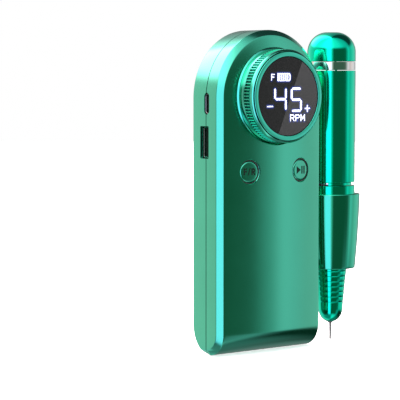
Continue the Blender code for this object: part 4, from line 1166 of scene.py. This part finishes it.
# Brightness round the horizon by bearing in degrees: 0 is in front, positive to the right
LEVEL_STOPS = [(-180, 0.95), (-150, (1.0, 0.78, 0.70)), (-125, (0.9, 0.66, 0.58)), (-100, 0.25),
               (-90, BLACKISH),
               (-80, BLACKISH), (-70, (0.6, 0.85, 0.65)), (-64, STRIP), (-45, STRIP), (-39, (0.45, 0.6, 0.48)),
               (-31, DIM), (14, DIM), (27, (0.07, 0.13, 0.09)),
               (37, (0.32, 0.40, 0.36)), (45, 0.77), (52, 0.66), (60, (0.66, 0.58, 0.55)), (75, (0.80, 0.74, 0.71)),
               (92, 0.74), (108, 0.5), (124, 0.36), (140, 0.25), (158, 0.3), (180, 0.95)]
BELOW_STOPS = [(-180, 0.8), (-104, 0.6), (-88, BLACKISH), (-69, BLACKISH), (-63, STRIP), (-44, STRIP),
               (-36, DIM), (10, DIM), (20, 0.3), (32, 0.4), (43, 0.12), (53, BLACKISH), (105, BLACKISH),
               (122, 0.22), (152, 0.25), (180, 0.8)]
NADIR_STOPS = [(-180, 0.9), (-130, 0.3), (-50, 0.25), (-10, 1.0), (14, 0.9), (42, 0.2), (110, 0.2), (152, 0.22),
               (180, 0.9)]
ABOVE_STOPS = [(-180, (5.5, 3.6, 3.8)), (-150, (5.0, 3.4, 3.6)), (-126, 1.4), (-60, 2.4), (-20, 1.1), (38, 0.6),
               (52, 0.45), (64, 0.05), (112, 0.05), (130, 0.3), (152, 0.5), (170, 1.6), (180, (5.5, 3.6, 3.8))]
# Colours that blend in over the ones before, and between which upward parts of the direction
LAYERS = ((BELOW_STOPS, -0.14, -0.40), (NADIR_STOPS, -0.58, -0.85), (ABOVE_STOPS, 0.25, 0.5))
LAMPS = (("overhead", (0.1, -0.1, 1.3), 1.8, 36.0), ("fill", (-0.9, -1.1, 0.6), 1.2, 8.0))
LAMP_TARGET = Vector((0, 0, 0.06))
FLOOR_RADIUS = 2600


def build_stage():
    bm = bmesh.new()
    bmesh.ops.create_circle(bm, cap_ends=True, radius=FLOOR_RADIUS, segments=64)
    mesh = bpy.data.meshes.new("floor")
    bm.to_mesh(mesh)
    bm.free()
    floor = bpy.data.objects.new("floor", mesh)
    floor.scale = (MM, MM, MM)
    floor.location = (0, 0, -0.0002)
    bpy.context.collection.objects.link(floor)
    mesh.materials.append(surface("pale_floor", (0.92, 0.92, 0.92), 0.0, 0.85, grain=40, vary=0.01, bump=0.0,
                                  cloud=3.0, Specular_IOR_Level=0.1, Emission_Color=(1, 1, 1, 1),
                                  Emission_Strength=0.6))
    floor.visible_glossy = False
    for name, place, size, power in LAMPS:
        data = bpy.data.lights.new(name, "AREA")
        data.shape = "DISK"
        data.size = size
        data.energy = power
        lamp = bpy.data.objects.new(name, data)
        lamp.location = place
        lamp.rotation_euler = (LAMP_TARGET - Vector(place)).to_track_quat("-Z", "Y").to_euler()
        lamp.visible_glossy = False
        bpy.context.collection.objects.link(lamp)


# Direction from the target to the camera in degrees, its distance in metres, and the target in mm
CAMERA_BEARING = -38.483
CAMERA_HEIGHT = 3.894
CAMERA_DISTANCE = 0.77397
CAMERA_TARGET = (-30.256, 9.839, 67.113)


def build_camera():
    bearing, height = math.radians(CAMERA_BEARING), math.radians(CAMERA_HEIGHT)
    back = Vector((math.sin(bearing) * math.cos(height), -math.cos(bearing) * math.cos(height), math.sin(height)))
    target = ORIGIN + Vector(CAMERA_TARGET) * MM
    data = bpy.data.cameras.new("camera")
    data.sensor_width = 36.0
    data.lens = 161.88
    data.clip_start = 0.01
    camera = bpy.data.objects.new("camera", data)
    camera.location = target + back * CAMERA_DISTANCE
    camera.rotation_euler = back.to_track_quat("Z", "Y").to_euler()
    bpy.context.collection.objects.link(camera)
    bpy.context.scene.camera = camera
    bpy.context.scene.view_settings.view_transform = "Standard"


build_camera()
build_world()
build_stage()
build_case()
build_dial()
build_display()
build_buttons()
build_sockets()
build_screws()
build_holder()
build_handpiece()
paint_kept()
